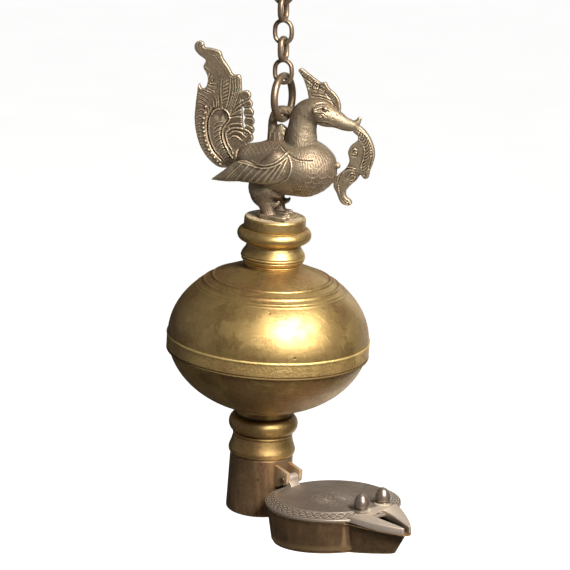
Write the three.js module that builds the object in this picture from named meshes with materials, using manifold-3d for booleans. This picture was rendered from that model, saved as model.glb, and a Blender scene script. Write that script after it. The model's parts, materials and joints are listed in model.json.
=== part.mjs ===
// A hanging bronze oil lamp: chain, ring, goose on a plinth, oil reservoir, feed cup and lidded lamp pan.
// Millimetres, +Z up. The origin is the point under the crown of the top hook that carries the lamp.

import * as THREE from 'three';
import { mergeVertices } from 'three/addons/utils/BufferGeometryUtils.js';
import Module from 'manifold-3d';

const wasm = await Module();
wasm.setup();

// Clearance between pieces that touch
const gap = 0.3;

// Top hook, suspension ring, and links of two eyes at right angles; turns are in degrees about +Z
const hookWire = 4.6;
const hookCrown = 11;
const hookShank = 22;
const hookEye = 14;
const linkCount = 3;
const linkWire = 3.9;
const linkStrip = 5.2;
const linkWidth = 19.2;
const linkEye = 23.3;
const linkSlack = 0.6;
const linkTurn = -20;
const ringWire = 6.7;
const ringWidth = 44;
const ringHeight = 44;
const ringTurn = 65;

// Feed cup and the two ears of the lid's hinge
const cupRadius = 28.3;
const cupHeight = 53.1;
const cupFlare = 1.3;
const cupWall = 3.1;
const cupFloor = 3.5;
const earSpacing = 16;
const earThickness = 4;
const earRise = 7;
const earReach = 4.8;
const pinRadius = 1.8;
const pinHeadRadius = 2.9;
const pinHeadHeight = 1.2;
const pinHeight = 38.4;
const pinReach = 9.6;

// Lower neck, from the cup's rim to the reservoir
const collarHeight = 17.5;
const collarTopRadius = 25.4;
const lowerTorusRadius = 31;
const lowerTorusHeight = 15;
const lowerWaistRadius = 24.8;
const neckTopRadius = 24.5;
const neckBore = 18.7;
const spigotDepth = 7;
const dipTubeRadius = 9;
const dipTubeBore = 6.5;
const dipTubeEnd = 18;
const dipTubeFlange = 3.5;

// Reservoir of two bowls and the band over their joint
const reservoirRadius = 89.5;
const reservoirHalfHeight = 67.6;
const reservoirWall = 3;
const reservoirCentre = 160.9;
const lowerMouth = 22;
const upperMouth = 20;
const bowlJoint = -5.7;
const bandTop = 2.2;
const bandBottom = -13.6;
const bandProud = 1;
const ridgeHeight = 0.7;
const ridgeRadii = [52, 59.7, 64.3, 67];

// Upper neck and plinth
const upperNeckRadius = 28.6;
const upperNeckHeight = 19.3;
const grooveRadius = 25;
const plinthTorusRadius = 32.7;
const plinthTorusHeight = 12;
const plinthRadius = 27.1;
const plinthHeight = 24.2;
const plugRadius = 15.7;
const plugDepth = 11;

// Goose: it faces birdTurn degrees from +X, and x runs toward its beak
const birdTurn = -15;
const gooseHeight = 147.5;
const legSpread = 9.5;
const legStride = 5;
const toeThickness = 3.2;
const eyeBarRadius = 4;
const eyeHeight = 94.5;
const eyeForward = 2;
const tailThickness = 4.6;
const lobeRadius = 4.5;
const crestThickness = 4.4;
const sprigThickness = 6.4;

// Lamp pan, its feed tube, and the lid with two knobs
const panTurn = -44.5;
const panPitch = 4.6;
const panRadius = 58.5;
const panTaper = 4.5;
const panHeight = 32.5;
const panFootRise = 0.06;
const panWall = 3.5;
const panFloor = 3.6;
const panRise = 30.8;
const panStandOff = 3.5;
const panRelief = 4.6;
const spoutTurn = -5;
const spoutReach = 39;
const spoutHalfWidth = 28;
const spoutTip = 5.5;
const spoutLean = [0.3, 0.18];
const spoutSlope = 0.11;
const spoutDrop = 2;
const feedTubeRadius = 8;
const feedTubeBore = 5;
const feedTubeHeight = 14;
const feedTubeReach = 1.5;
const lidOverhang = 1.2;
const lidBorder = 10.2;
const lidRise = 5.9;
const lidEdge = 2;
const lidPlate = 2.4;
const lidArm = 5.2;
const lidArmSlope = 0.14;
const wickHalfWidth = 7.5;
const wickTip = 2.8;
const knuckleRadius = 4.2;
const knobInset = 12.1;
const knobSpacing = 27.4;
const knobRadius = 6.8;
const knobHeight = 13.5;
const knobShank = 1.5;
const padRadius = 8.2;
const padHeight = 0.9;

const cupFoot = cupRadius + cupFlare;
const panFootRadius = panRadius - panTaper;
const panCentre = cupRadius + panStandOff + panRadius;
const spoutLength = panRadius + spoutReach;
const lidRadius = panRadius + lidOverhang;
const lidFieldRadius = lidRadius - lidBorder;
const knobPlace = panRadius - knobInset;
const slopeStart = knobPlace + 3;
const pinX = cupRadius + pinReach;

// Number of flats round a turned piece, by its size
const flatsLarge = 38;
const flatsSmall = 26;
const flatsFine = 12;

const bronzeDark = new THREE.MeshStandardMaterial({ color: 0x5e4a34, roughness: 0.42, metalness: 0.9 });
const bronzeGold = new THREE.MeshStandardMaterial({ color: 0x8a744a, roughness: 0.34, metalness: 0.9 });
const bronzeDusty = new THREE.MeshStandardMaterial({ color: 0x6f6350, roughness: 0.6, metalness: 0.75 });
const bronzeRed = new THREE.MeshStandardMaterial({ color: 0x73523c, roughness: 0.45, metalness: 0.85 });
const bronzeGrey = new THREE.MeshStandardMaterial({ color: 0x6e6459, roughness: 0.5, metalness: 0.85 });

const radians = THREE.MathUtils.degToRad;

// Solids and meshes

function signedVolume(geometry) {
  const place = geometry.getAttribute('position');
  const order = geometry.getIndex();
  const corner = [new THREE.Vector3(), new THREE.Vector3(), new THREE.Vector3()];
  let sum = 0;
  for (let i = 0; i < order.count; i += 3) {
    corner.forEach((point, k) => point.fromBufferAttribute(place, order.getX(i + k)));
    sum += corner[0].dot(corner[1].clone().cross(corner[2])) / 6;
  }
  return sum;
}

function bare(geometry) {
  const copy = new THREE.BufferGeometry();
  copy.setAttribute('position', geometry.getAttribute('position').clone());
  if (geometry.getIndex()) copy.setIndex(geometry.getIndex().clone());
  const merged = mergeVertices(copy, 1e-4);
  if (signedVolume(merged) < 0) merged.getIndex().array.reverse();
  return merged;
}

function solid(geometry) {
  const clean = bare(geometry);
  const vertProperties = new Float32Array(clean.getAttribute('position').array);
  const triVerts = new Uint32Array(clean.getIndex().array);
  const mesh = new wasm.Mesh({ numProp: 3, vertProperties, triVerts });
  mesh.merge();
  return new wasm.Manifold(mesh);
}

function toGeometry(manifold) {
  const mesh = manifold.getMesh();
  const geometry = new THREE.BufferGeometry();
  geometry.setAttribute('position', new THREE.BufferAttribute(mesh.vertProperties, 3));
  geometry.setIndex(new THREE.BufferAttribute(mesh.triVerts, 1));
  return geometry;
}

const asSolid = (part) => (part.isBufferGeometry ? solid(part) : part);

function join(...parts) {
  return parts.map(asSolid).reduce((a, b) => a.add(b));
}

function cut(base, ...tools) {
  return tools.map(asSolid).reduce((a, b) => a.subtract(b), asSolid(base));
}

function piece(name, body, material) {
  const geometry = body.isBufferGeometry ? bare(body) : toGeometry(body);
  geometry.computeVertexNormals();
  const mesh = new THREE.Mesh(geometry, material);
  mesh.name = name;
  return mesh;
}

// Turned shapes: a profile of [radius, height] pairs is spun about Z

function turned(profile, flats = flatsSmall) {
  const closes = profile[0][0] < 1e-6 && profile[profile.length - 1][0] < 1e-6;
  const line = profile.map(([r, z]) => new THREE.Vector2(r, z));
  if (!closes) line.push(line[0].clone());
  return new THREE.LatheGeometry(line, flats).rotateX(Math.PI / 2);
}

function drum(radius, bottom, top, flats = flatsSmall) {
  return turned([[0, bottom], [radius, bottom], [radius, top], [0, top]], flats);
}

// A row of [radius, height] points that swells from one height to another
function swelling(bottom, top, rootRadius, crownRadius, steps = 6) {
  const points = [];
  for (let i = 0; i <= steps; i += 1) {
    const turn = (Math.PI * i) / steps;
    const height = (bottom + top) / 2 - ((top - bottom) / 2) * Math.cos(turn);
    points.push([rootRadius + (crownRadius - rootRadius) * Math.sin(turn), height]);
  }
  return points;
}

// Lofts: rings of points of the same count, from one end to the other

function loft(rings) {
  const count = rings[0].length;
  const points = rings.flat();
  const faces = [];
  for (let j = 0; j + 1 < rings.length; j += 1) {
    for (let i = 0; i < count; i += 1) {
      const a = j * count + i;
      const b = j * count + ((i + 1) % count);
      faces.push(a, b, b + count, a, b + count, a + count);
    }
  }
  const ends = [rings[0], rings[rings.length - 1]];
  ends.forEach((ring, end) => {
    const middle = ring.reduce((sum, p) => sum.add(p), new THREE.Vector3()).divideScalar(count);
    const start = end === 0 ? 0 : (rings.length - 1) * count;
    points.push(middle);
    for (let i = 0; i < count; i += 1) {
      const next = start + ((i + 1) % count);
      if (end === 0) faces.push(points.length - 1, next, start + i);
      else faces.push(points.length - 1, start + i, next);
    }
  });
  const geometry = new THREE.BufferGeometry().setFromPoints(points);
  geometry.setIndex(faces);
  return geometry;
}

// Keys are [x, y, z, radius in the path's plane, radius across it]; the path stays near the XZ plane
function lofted(keys, steps, sides = 20, grow = 0) {
  const centres = keys.map(([x, y, z]) => new THREE.Vector3(x, y, z));
  const path = new THREE.CatmullRomCurve3(centres, false, 'centripetal');
  const girth = new THREE.CatmullRomCurve3(keys.map(([, , , a, b]) => new THREE.Vector3(a, b, 0)));
  const rings = [];
  for (let j = 0; j <= steps; j += 1) {
    const t = j / steps;
    const centre = path.getPoint(t);
    const along = path.getTangent(t);
    const across = new THREE.Vector3(0, 1, 0);
    const up = along.clone().cross(across).normalize();
    across.crossVectors(up, along).normalize();
    const size = girth.getPoint(t);
    const ring = [];
    for (let i = 0; i < sides; i += 1) {
      const turn = (2 * Math.PI * i) / sides;
      const point = centre.clone().addScaledVector(up, (size.x + grow) * Math.cos(turn));
      ring.push(point.addScaledVector(across, (size.y + grow) * Math.sin(turn)));
    }
    rings.push(ring);
  }
  return loft(rings);
}

// A wire of round section along a list of points
function wire(points, radius, steps, sides = 10, closed = false) {
  const round = new THREE.Shape().absarc(0, 0, radius, 0, 2 * Math.PI);
  const places = points.map((p) => new THREE.Vector3(...p));
  const path = new THREE.CatmullRomCurve3(places, closed, 'centripetal');
  return new THREE.ExtrudeGeometry(round, {
    extrudePath: path, steps, curveSegments: sides / 2, bevelEnabled: false });
}

// An oval ring of round wire standing in the XZ plane, centred on its middle
function ovalRing(width, height, thickness, turns = 16, sides = 8) {
  const geometry = new THREE.TorusGeometry((width - thickness) / 2, thickness / 2, sides, turns);
  geometry.rotateZ(Math.PI / turns).rotateX(Math.PI / 2);
  const place = geometry.getAttribute('position');
  const stretch = (height - width) / 2;
  for (let i = 0; i < place.count; i += 1) {
    place.setZ(i, place.getZ(i) + Math.sign(place.getZ(i)) * stretch);
  }
  return geometry;
}

// Flat shapes in the XZ plane, centred on y = 0, from a smooth closed outline
function standing(outline, thickness, divisions = 2) {
  const curve = new THREE.CatmullRomCurve3(
    outline.map(([x, z]) => new THREE.Vector3(x, z, 0)), true, 'centripetal');
  const shape = new THREE.Shape(curve.getPoints(outline.length * divisions).slice(0, -1)
    .map((p) => new THREE.Vector2(p.x, p.y)));
  const geometry = new THREE.ExtrudeGeometry(shape, { depth: thickness, bevelEnabled: false });
  return geometry.translate(0, 0, -thickness / 2).rotateX(Math.PI / 2);
}

function sharp(outline, thickness) {
  const shape = new THREE.Shape(outline.map(([x, z]) => new THREE.Vector2(x, z)));
  const geometry = new THREE.ExtrudeGeometry(shape, { depth: thickness, bevelEnabled: false });
  return geometry.translate(0, 0, -thickness / 2).rotateX(Math.PI / 2);
}

// A drum whose axis runs along Y, through (x, z)
function crossDrum(radius, halfLength, x, z, flats = flatsFine) {
  return drum(radius, -halfLength, halfLength, flats).rotateX(Math.PI / 2).translate(x, 0, z);
}

// Feed cup

function makeCup() {
  const edge = 1.2;
  const bowl = turned([
    [0, 0], [cupFoot - edge, 0], [cupFoot, edge], [cupRadius, cupHeight],
    [cupRadius - cupWall, cupHeight], [cupFoot - cupWall, cupFloor], [0, cupFloor],
  ], flatsLarge);
  const root = cupRadius - cupWall * 0.7;
  const heel = 3;
  const nose = [];
  for (let turn = 10; turn >= -90; turn -= 20) {
    nose.push([pinX + earReach * Math.cos(radians(turn)), pinHeight + earReach * Math.sin(radians(turn))]);
  }
  const outline = [
    [root, pinHeight + earRise + 4], [pinX + earReach, pinHeight + earRise], ...nose,
    [(root + pinX) / 2, pinHeight - earReach - heel], [root, pinHeight - earReach - 1.5 * heel],
  ];
  const ears = [-1, 1].map((side) => sharp(outline, earThickness).translate(0, (side * earSpacing) / 2, 0));
  const pinHole = crossDrum(pinRadius + gap, earSpacing, pinX, pinHeight);
  const feedHole = drum(feedTubeRadius + gap, cupRadius - 3 * cupWall, cupFoot + cupWall, 24)
    .rotateY(Math.PI / 2).translate(0, 0, feedTubeHeight);
  return piece('feed_cup', cut(join(bowl, ...ears), pinHole, feedHole), bronzeDark);
}

function makePin() {
  const ear = earSpacing / 2 + earThickness / 2 + gap;
  const end = ear + pinHeadHeight;
  const shape = turned([
    [0, -end], [pinHeadRadius, -end], [pinHeadRadius, -ear], [pinRadius, -ear],
    [pinRadius, ear], [pinHeadRadius, ear], [pinHeadRadius, end], [0, end],
  ], flatsFine);
  shape.rotateX(Math.PI / 2).translate(pinX, 0, pinHeight);
  return piece('lid_hinge_pin', shape, bronzeDark);
}

function makeFeedTube() {
  const start = cupRadius - cupWall - 1;
  const end = cupRadius + panStandOff + panWall + feedTubeReach;
  const shape = turned([
    [feedTubeBore, start], [feedTubeRadius, start], [feedTubeRadius, end], [feedTubeBore, end],
  ], 24);
  shape.rotateY(Math.PI / 2).translate(0, 0, feedTubeHeight);
  return piece('feed_tube', shape, bronzeDark);
}

// Lower neck, and the flanged dip tube in its spigot that sets the oil level in the cup

const ellipseHeight = (r) => reservoirHalfHeight * Math.sqrt(1 - (r / reservoirRadius) ** 2);
const ellipseRadius = (z) => reservoirRadius * Math.sqrt(1 - (z / reservoirHalfHeight) ** 2);

function makeLowerNeck() {
  const base = cupHeight + gap;
  const collarTop = base + collarHeight;
  const lip = 1.6;
  const torusBottom = collarTop + 2.8;
  const torusTop = torusBottom + lowerTorusHeight;
  const seat = reservoirCentre - ellipseHeight(lowerMouth) - gap;
  const fit = cupRadius - cupWall - gap;
  const collar = [];
  for (let i = 0; i <= 4; i += 1) {
    const t = i / 4;
    const bulge = cupRadius - collarTopRadius + 0.5;
    collar.push([collarTopRadius + bulge * Math.cos((t * Math.PI) / 2.4), base + collarHeight * t]);
  }
  return piece('lower_neck', turned([
    [neckBore, base - spigotDepth], [fit, base - spigotDepth], [fit, base],
    ...collar, [collarTopRadius + lip, collarTop + 0.5], [collarTopRadius + lip, collarTop + 1.7],
    [lowerWaistRadius, collarTop + 2.4],
    ...swelling(torusBottom, torusTop, lowerWaistRadius + 0.8, lowerTorusRadius, 6),
    [lowerWaistRadius - 0.4, torusTop + 1], [neckTopRadius, seat],
    [lowerMouth - gap, seat], [lowerMouth - gap, seat + reservoirWall + 1],
    [neckBore, seat + reservoirWall + 1],
  ]), bronzeGold);
}

function makeDipTube() {
  const top = cupHeight + gap - spigotDepth + dipTubeFlange;
  const flange = neckBore - gap;
  return piece('dip_tube', turned([
    [dipTubeBore, dipTubeEnd], [dipTubeRadius, dipTubeEnd], [dipTubeRadius, top - dipTubeFlange],
    [flange, top - dipTubeFlange], [flange, top], [dipTubeBore, top],
  ]), bronzeGold);
}

// Reservoir bowls

function bowlArc(radius, halfHeight, fromHeight, toHeight, steps) {
  const points = [];
  const start = Math.asin(fromHeight / halfHeight);
  const end = Math.asin(toHeight / halfHeight);
  for (let i = 0; i <= steps; i += 1) {
    const turn = start + ((end - start) * i) / steps;
    points.push([radius * Math.cos(turn), reservoirCentre + halfHeight * Math.sin(turn)]);
  }
  return points;
}

function makeLowerBowl() {
  const mouth = ellipseHeight(lowerMouth);
  const innerHalf = reservoirHalfHeight - reservoirWall;
  const innerRadius = reservoirRadius - reservoirWall;
  const innerMouth = innerHalf * Math.sqrt(1 - (lowerMouth / innerRadius) ** 2);
  const outer = bowlArc(reservoirRadius, reservoirHalfHeight, -mouth, bowlJoint - gap / 2, 9);
  const inner = bowlArc(innerRadius, innerHalf, bowlJoint - gap / 2, -innerMouth, 7);
  return piece('reservoir_lower_bowl', turned([...outer, ...inner], flatsLarge), bronzeGold);
}

function makeUpperBowl() {
  const mouth = ellipseHeight(upperMouth);
  const innerHalf = reservoirHalfHeight - reservoirWall;
  const innerRadius = reservoirRadius - reservoirWall;
  const innerMouth = innerHalf * Math.sqrt(1 - (upperMouth / innerRadius) ** 2);
  const shoulder = ellipseHeight(ridgeRadii[ridgeRadii.length - 1] + 2);
  const outer = bowlArc(reservoirRadius, reservoirHalfHeight, bowlJoint + gap / 2, shoulder, 5);
  const ridges = [...ridgeRadii].reverse().flatMap((r) => [
    [r + 1, reservoirCentre + ellipseHeight(r + 1)],
    [r + 0.4, reservoirCentre + ellipseHeight(r) + ridgeHeight],
    [r - 1, reservoirCentre + ellipseHeight(r - 1)],
  ]);
  const inmost = ellipseHeight(ridgeRadii[0] - 4);
  const crown = bowlArc(reservoirRadius, reservoirHalfHeight, inmost, mouth, 3);
  const inner = bowlArc(innerRadius, innerHalf, innerMouth, bowlJoint + gap / 2, 7);
  const profile = [...outer, ...ridges, ...crown, ...inner];
  return piece('reservoir_upper_bowl', turned(profile, flatsLarge), bronzeGold);
}

function makeBand() {
  const outer = reservoirRadius + bandProud;
  const inside = [bandTop, bandTop / 2, -3, -8, bandBottom].map(
    (z) => [ellipseRadius(z) + gap, reservoirCentre + z]);
  return piece('reservoir_band', turned([
    ...inside,
    [outer - 0.9, reservoirCentre + bandBottom],
    [outer - 0.2, reservoirCentre + bandBottom + 0.9],
    [outer - 0.9, reservoirCentre + bandBottom + 2.1],
    [outer, reservoirCentre + bandBottom + 3.2],
    [outer, reservoirCentre + bandTop - 1.2],
    [outer - 0.5, reservoirCentre + bandTop],
  ], flatsLarge), bronzeGold);
}

// Upper neck and the plinth, whose plug closes the reservoir

const upperSeat = reservoirCentre + ellipseHeight(upperMouth) + gap;
const plinthBase = upperSeat + upperNeckHeight + gap;
const plinthTop = plinthBase + plinthHeight;

function makeUpperNeck() {
  const top = upperSeat + upperNeckHeight;
  const groove = 4.5;
  const band = (t) => upperSeat + 2.2 + (upperNeckHeight - groove - 3.4) * t;
  return piece('upper_neck', turned([
    [upperMouth - gap, upperSeat - reservoirWall - 2], [upperMouth - gap, upperSeat],
    [upperMouth + 4.5, upperSeat - 0.7], [upperMouth + 4.7, upperSeat + 0.6],
    [upperNeckRadius - 1.2, band(0)], [upperNeckRadius, band(0.16)], [upperNeckRadius, band(0.3)],
    [upperNeckRadius - 0.9, band(0.36)], [upperNeckRadius, band(0.44)], [upperNeckRadius, band(0.56)],
    [upperNeckRadius - 0.9, band(0.62)], [upperNeckRadius, band(0.7)], [upperNeckRadius - 1, band(0.94)],
    [grooveRadius + 0.6, band(1)], [grooveRadius, band(1) + 1], [grooveRadius, top],
    [plugRadius + gap, top], [plugRadius + gap, upperSeat - reservoirWall - 2],
  ]), bronzeGold);
}

function makePlinth() {
  const torusBottom = plinthBase + 2.2;
  const torusTop = torusBottom + plinthTorusHeight;
  return piece('plinth', turned([
    [0, plinthTop - 5], [plugRadius - 4, plinthTop - 5], [plugRadius - 4, plinthBase - plugDepth],
    [plugRadius, plinthBase - plugDepth], [plugRadius, plinthBase], [grooveRadius, plinthBase],
    [grooveRadius + 0.5, plinthBase + 1.2],
    ...swelling(torusBottom, torusTop, grooveRadius + 2, plinthTorusRadius, 6),
    [plinthRadius, torusTop + 0.8], [plinthRadius, plinthTop - 1.2], [plinthRadius - 1, plinthTop],
    [0, plinthTop],
  ]), bronzeGold);
}

// Goose, in a frame of its own: z counts from the plinth's top face, x toward the beak

// Every key and outline below is drawn for a goose 147.5 high and scaled to gooseHeight
const goose = gooseHeight / 147.5;
const scaled = (keys) => keys.map((key) => key.map((value) => value * goose));

const bodyKeys = scaled([
  [-36, 0, 48.5, 8, 8],
  [-29, 0, 48, 14, 14],
  [-16.6, 0, 45.5, 20, 21],
  [-0.8, 0, 45, 24, 25.5],
  [15, 0, 45.5, 25, 27],
  [30.9, 0, 46, 24.5, 25.5],
  [43.2, 0, 45.5, 18, 19],
  [49.4, 0, 45, 11, 11.5],
  [52, 0, 45, 3.5, 4],
]);

const neckKeys = scaled([
  [18, 0, 52, 17, 17],
  [19, 0, 68, 14.5, 14.5],
  [19.5, 0, 82, 12.5, 12],
  [22, 0, 92.5, 12.2, 11.5],
  [31, 0, 97, 11.5, 11.5],
  [41, 0, 94, 10.3, 11],
  [50, 0, 91.2, 7.6, 7.5],
  [57, 0, 88.2, 6.2, 5.4],
  [64, 0, 87.8, 5.4, 4.4],
  [69.5, 0, 93, 2.2, 2.4],
]);

const wingKeys = scaled([
  [14, 19, 56, 7, 3],
  [8, 23, 51.5, 13, 5],
  [-2, 24, 44.5, 11.5, 5.6],
  [-14, 23, 41, 8.5, 5],
  [-27, 21.5, 41.5, 9.6, 3.6],
  [-41, 20.5, 35.8, 5.4, 2.6],
  [-54, 19.5, 31, 1, 1],
]);

const thighKeys = scaled([
  [-4, 0, 34, 14, 8],
  [-8.4, 0, 24, 15.8, 9],
  [-9, 0, 18, 11.8, 8],
  [-6.5, 0, 11, 7, 5.8],
  [-4.6, 0, 4, 6.4, 5.4],
  [-3.6, 0, 0.3, 8, 6.6],
]);

const spurKeys = scaled([[0, 0, 12, 3, 2.6], [3.5, 0, 13.5, 2, 2], [5, 0, 16, 0.6, 0.6]]);

const legOutline = scaled([
  [-13, 0], [-10, 5], [-2, 6], [6, 8.6], [13, 8], [14, 6], [9, 3.4], [15.5, 1.2], [15.5, -1.2], [9, -3.4],
  [14, -6], [13, -8], [6, -8.6], [-2, -6], [-10, -5],
]);

// The far leg stands forward by a stride, its toes by half a stride
function makeLeg(side) {
  const stride = side > 0 ? legStride * goose : 0;
  const flat = standing(legOutline, toeThickness).rotateX(-Math.PI / 2);
  const toes = flat.translate(-stride / 2, 0, gap + toeThickness / 2);
  const parts = [toes, lofted(thighKeys, 8, 12), lofted(spurKeys, 4, 8)];
  return parts.map((part) => part.translate(stride, side * legSpread, 0));
}

// The eye on the back: a bar that rises from the back and runs level into the nape
const eyeBar = [
  [-7 * goose, 0, 55 * goose], [-7 * goose, 0, 72 * goose], [-6.9 * goose, 0, eyeHeight - 9],
  [-4 * goose, 0, eyeHeight - 2], [0, 0, eyeHeight], [5 * goose, 0, eyeHeight],
  [10 * goose, 0, eyeHeight - 0.2], [20 * goose, 0, eyeHeight - 2],
];

// The saddle leans from the back up to the nape and leaves the ring its room under the eye's bar
const saddleTop = eyeHeight - eyeBarRadius - ringWire - 2 * gap;
const saddleKeys = scaled([
  [-1, 0, -33, 9, 7],
  [-1.5, 0, -21, 8.5, 6],
  [-1, 0, -12.2, 8.2, 5.5],
  [1, 0, -6.7, 6.5, 5],
  [3.5, 0, -2.9, 4, 4],
]).map(([x, y, fall, along, across]) => [x, y, saddleTop + fall, along, across]);

function makeWing(side) {
  return lofted(wingKeys.map(([x, y, z, a, b]) => [x, side * y, z, a, b]), 9, 10);
}

function makeBird() {
  const eye = [wire(eyeBar, eyeBarRadius, 12, 10), lofted(saddleKeys, 6, 12)];
  const trunk = [lofted(bodyKeys, 14, 20), lofted(neckKeys, 14, 14), ...eye];
  const body = join(...trunk, makeWing(-1), makeWing(1), ...makeLeg(-1), ...makeLeg(1));
  const ground = drum(plinthTorusRadius, -toeThickness, gap, flatsFine);
  return piece('goose_body', cut(body, ground), bronzeDusty);
}

// Tail fan: a flat plate of foliage with a curled tip and a scalloped front edge
const tailOutline = scaled([
  [-40, 41], [-52, 38], [-62, 43.5], [-70, 53], [-75, 65], [-77.5, 78], [-77.3, 90], [-76.5, 101],
  [-75.2, 110.5], [-72.5, 106], [-68.6, 108], [-67.6, 117], [-72, 125.5], [-70, 131], [-76, 135],
  [-80.5, 140], [-80.3, 145], [-76.5, 147.5], [-72.8, 146], [-72, 142.6], [-65, 142], [-57, 139.6],
  [-55.5, 135.5], [-49, 127], [-44.6, 121],
  [-39, 121.4], [-37, 112], [-36, 100], [-34, 80], [-32, 68], [-29, 59],
]);
const lobePlaces = scaled([
  [-32.5, 104], [-30.7, 96.5], [-29.2, 89], [-28.2, 81.5], [-27.9, 74], [-28.4, 66.8],
]);
const tailRootKeys = scaled([
  [-36, 0, 48.5, 7.8, 7.8], [-41, 0, 48, 8, 6], [-49, 0, 46, 7, 3.4], [-56, 0, 45, 4, 2.5],
]);

function makeTail() {
  const fan = standing(tailOutline, tailThickness);
  const lobes = lobePlaces.map(([x, z]) => crossDrum(lobeRadius * goose, tailThickness / 2, x, z));
  const root = lofted(tailRootKeys, 6, 16);
  const bodyRoom = lofted(bodyKeys, 14, 20, gap);
  return piece('tail_fan', cut(join(fan, root, ...lobes), bodyRoom), bronzeDusty);
}

const crestOutline = scaled([
  [13, 131], [15.5, 132.8], [22, 129], [29, 124.6], [34, 122], [37.5, 123], [41, 118], [46, 114.5],
  [50.5, 109], [52.5, 101], [50, 92], [36, 95], [25.4, 98], [24, 106], [21.4, 116], [17.2, 125],
]);

function makeCrest() {
  const headRoom = lofted(neckKeys, 14, 14, gap);
  return piece('crest', cut(standing(crestOutline, crestThickness), headRoom), bronzeDusty);
}

const sprigOutline = scaled([
  [64, 88], [70, 88], [75, 84.5], [80, 78.5], [83.6, 71], [85, 64], [84, 57], [81.8, 50], [80.4, 43],
  [77, 42.6], [74, 45.6], [70, 39.5], [64.5, 34], [61.6, 29], [62.6, 24.6], [66.6, 22], [67.6, 18.6],
  [63.5, 17], [58, 19.4], [54, 27], [50.8, 32.6], [51.2, 39.8], [53.7, 42.8], [56.2, 45.7], [60.4, 49.7],
  [63.4, 57], [61.6, 64], [63.9, 70.4], [69.3, 75.4], [69.4, 79], [65, 82.4],
]);

function makeSprig() {
  const headRoom = lofted(neckKeys, 14, 14, gap);
  const breastRoom = lofted(bodyKeys, 14, 20, gap);
  const leaves = cut(standing(sprigOutline, sprigThickness), headRoom, breastRoom);
  return piece('beak_sprig', leaves, bronzeDusty);
}

// Lamp pan, in a level frame whose origin is the centre of the round part at the rim

const spoutBack = panRadius - 24.5;

// A place along the spout, from its root at 0 to its tip at 1
const alongSpout = (t, length = spoutLength) => spoutBack + (length - spoutBack) * t;

// The spout's sides in plan: along by share of its length, across by share of its half width
const spoutHip = { along: 0.276, across: 1 };
const spoutFlank = { along: 0.457, across: 0.89 };
const spoutCheek = { along: 0.724, across: 0.57 };
const spoutLip = 0.945;

function spoutOutline(length, halfWidth, tip) {
  const x = (t) => alongSpout(t, length);
  const [hip, flank, cheek] = [spoutHip, spoutFlank, spoutCheek];
  const [a, b] = [flank.across * halfWidth, cheek.across * halfWidth];
  const shape = new THREE.Shape();
  shape.moveTo(spoutBack, -halfWidth);
  shape.lineTo(x(hip.along), -halfWidth);
  shape.bezierCurveTo(x(flank.along), -a, x(cheek.along), -b, x(spoutLip), -tip);
  shape.quadraticCurveTo(length, -tip / 2, length, 0);
  shape.quadraticCurveTo(length, tip / 2, x(spoutLip), tip);
  shape.bezierCurveTo(x(cheek.along), b, x(flank.along), a, x(hip.along), halfWidth);
  shape.lineTo(spoutBack, halfWidth);
  return shape;
}

// The spout's sides lean in toward the foot; depth counts down from the rim
function spoutBlock(length, halfWidth, tip, depth) {
  const flat = { depth, curveSegments: 7, bevelEnabled: false };
  const geometry = new THREE.ExtrudeGeometry(spoutOutline(length, halfWidth, tip), flat);
  geometry.translate(0, 0, -depth);
  const place = geometry.getAttribute('position');
  for (let i = 0; i < place.count; i += 1) {
    const fall = -place.getZ(i) / panHeight;
    place.setX(i, spoutBack + (place.getX(i) - spoutBack) * (1 - spoutLean[0] * fall));
    place.setY(i, place.getY(i) * (1 - spoutLean[1] * fall));
  }
  return geometry.rotateZ(radians(spoutTurn));
}

// Everything above the sloping rim of the spout
function aboveSpout(height) {
  const top = panHeight;
  const end = slopeStart + spoutLength;
  const outline = [
    [slopeStart, height], [end, height - spoutLength * spoutSlope], [end, top], [slopeStart, top],
  ];
  return sharp(outline, 4 * spoutHalfWidth).rotateZ(radians(spoutTurn));
}

// The pan grows shallower toward the spout
function risingFoot(geometry) {
  const place = geometry.getAttribute('position');
  for (let i = 0; i < place.count; i += 1) {
    place.setZ(i, place.getZ(i) * (1 - (panFootRise * place.getX(i)) / panHeight));
  }
  return geometry;
}

function makePan() {
  const foot = 3;
  const floor = panFloor - panHeight;
  const inner = panRadius - panWall;
  const outside = turned([
    [0, -panHeight], [panFootRadius - foot, -panHeight], [panFootRadius - 0.8, 0.8 - panHeight],
    [panFootRadius, foot - panHeight], [panRadius, -gap], [0, -gap],
  ], flatsLarge);
  const inside = turned([
    [0, floor], [panFootRadius - panWall - foot, floor], [panFootRadius - panWall, floor + foot],
    [inner, -gap], [inner, panHeight], [0, panHeight],
  ], flatsLarge);
  const spout = spoutBlock(spoutLength, spoutHalfWidth, spoutTip, panHeight);
  const [length, width] = [spoutLength - 1.8 * panWall, spoutHalfWidth - panWall];
  const hollow = spoutBlock(length, width, spoutTip / 2, panHeight - panFloor);
  const [body, spoutBody, room, spoutRoom] = [outside, spout, inside, hollow].map(risingFoot);
  const shell = cut(join(body, spoutBody), room, spoutRoom, aboveSpout(-gap - spoutDrop));
  return piece('lamp_pan', cut(shell, rearRelief(), tubeRoom()), bronzeDark);
}

// The rear wall is lower behind the hinge, where the lid's rear edge dips as it opens
function rearRelief() {
  const hinge = inPan(pinX, pinHeight);
  const halfWidth = Math.sqrt(lidRadius ** 2 - hinge.x ** 2) + 1;
  return new THREE.BoxGeometry(panRadius, 2 * halfWidth, 2 * panRelief).translate(hinge.x - panWall, 0, 0);
}

function tubeRoom() {
  const room = drum(feedTubeRadius + gap, -3 * panWall, 3 * panWall, 24).rotateY(Math.PI / 2);
  return room.applyMatrix4(lampToPan(cupRadius + panStandOff + panWall, feedTubeHeight));
}

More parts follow.
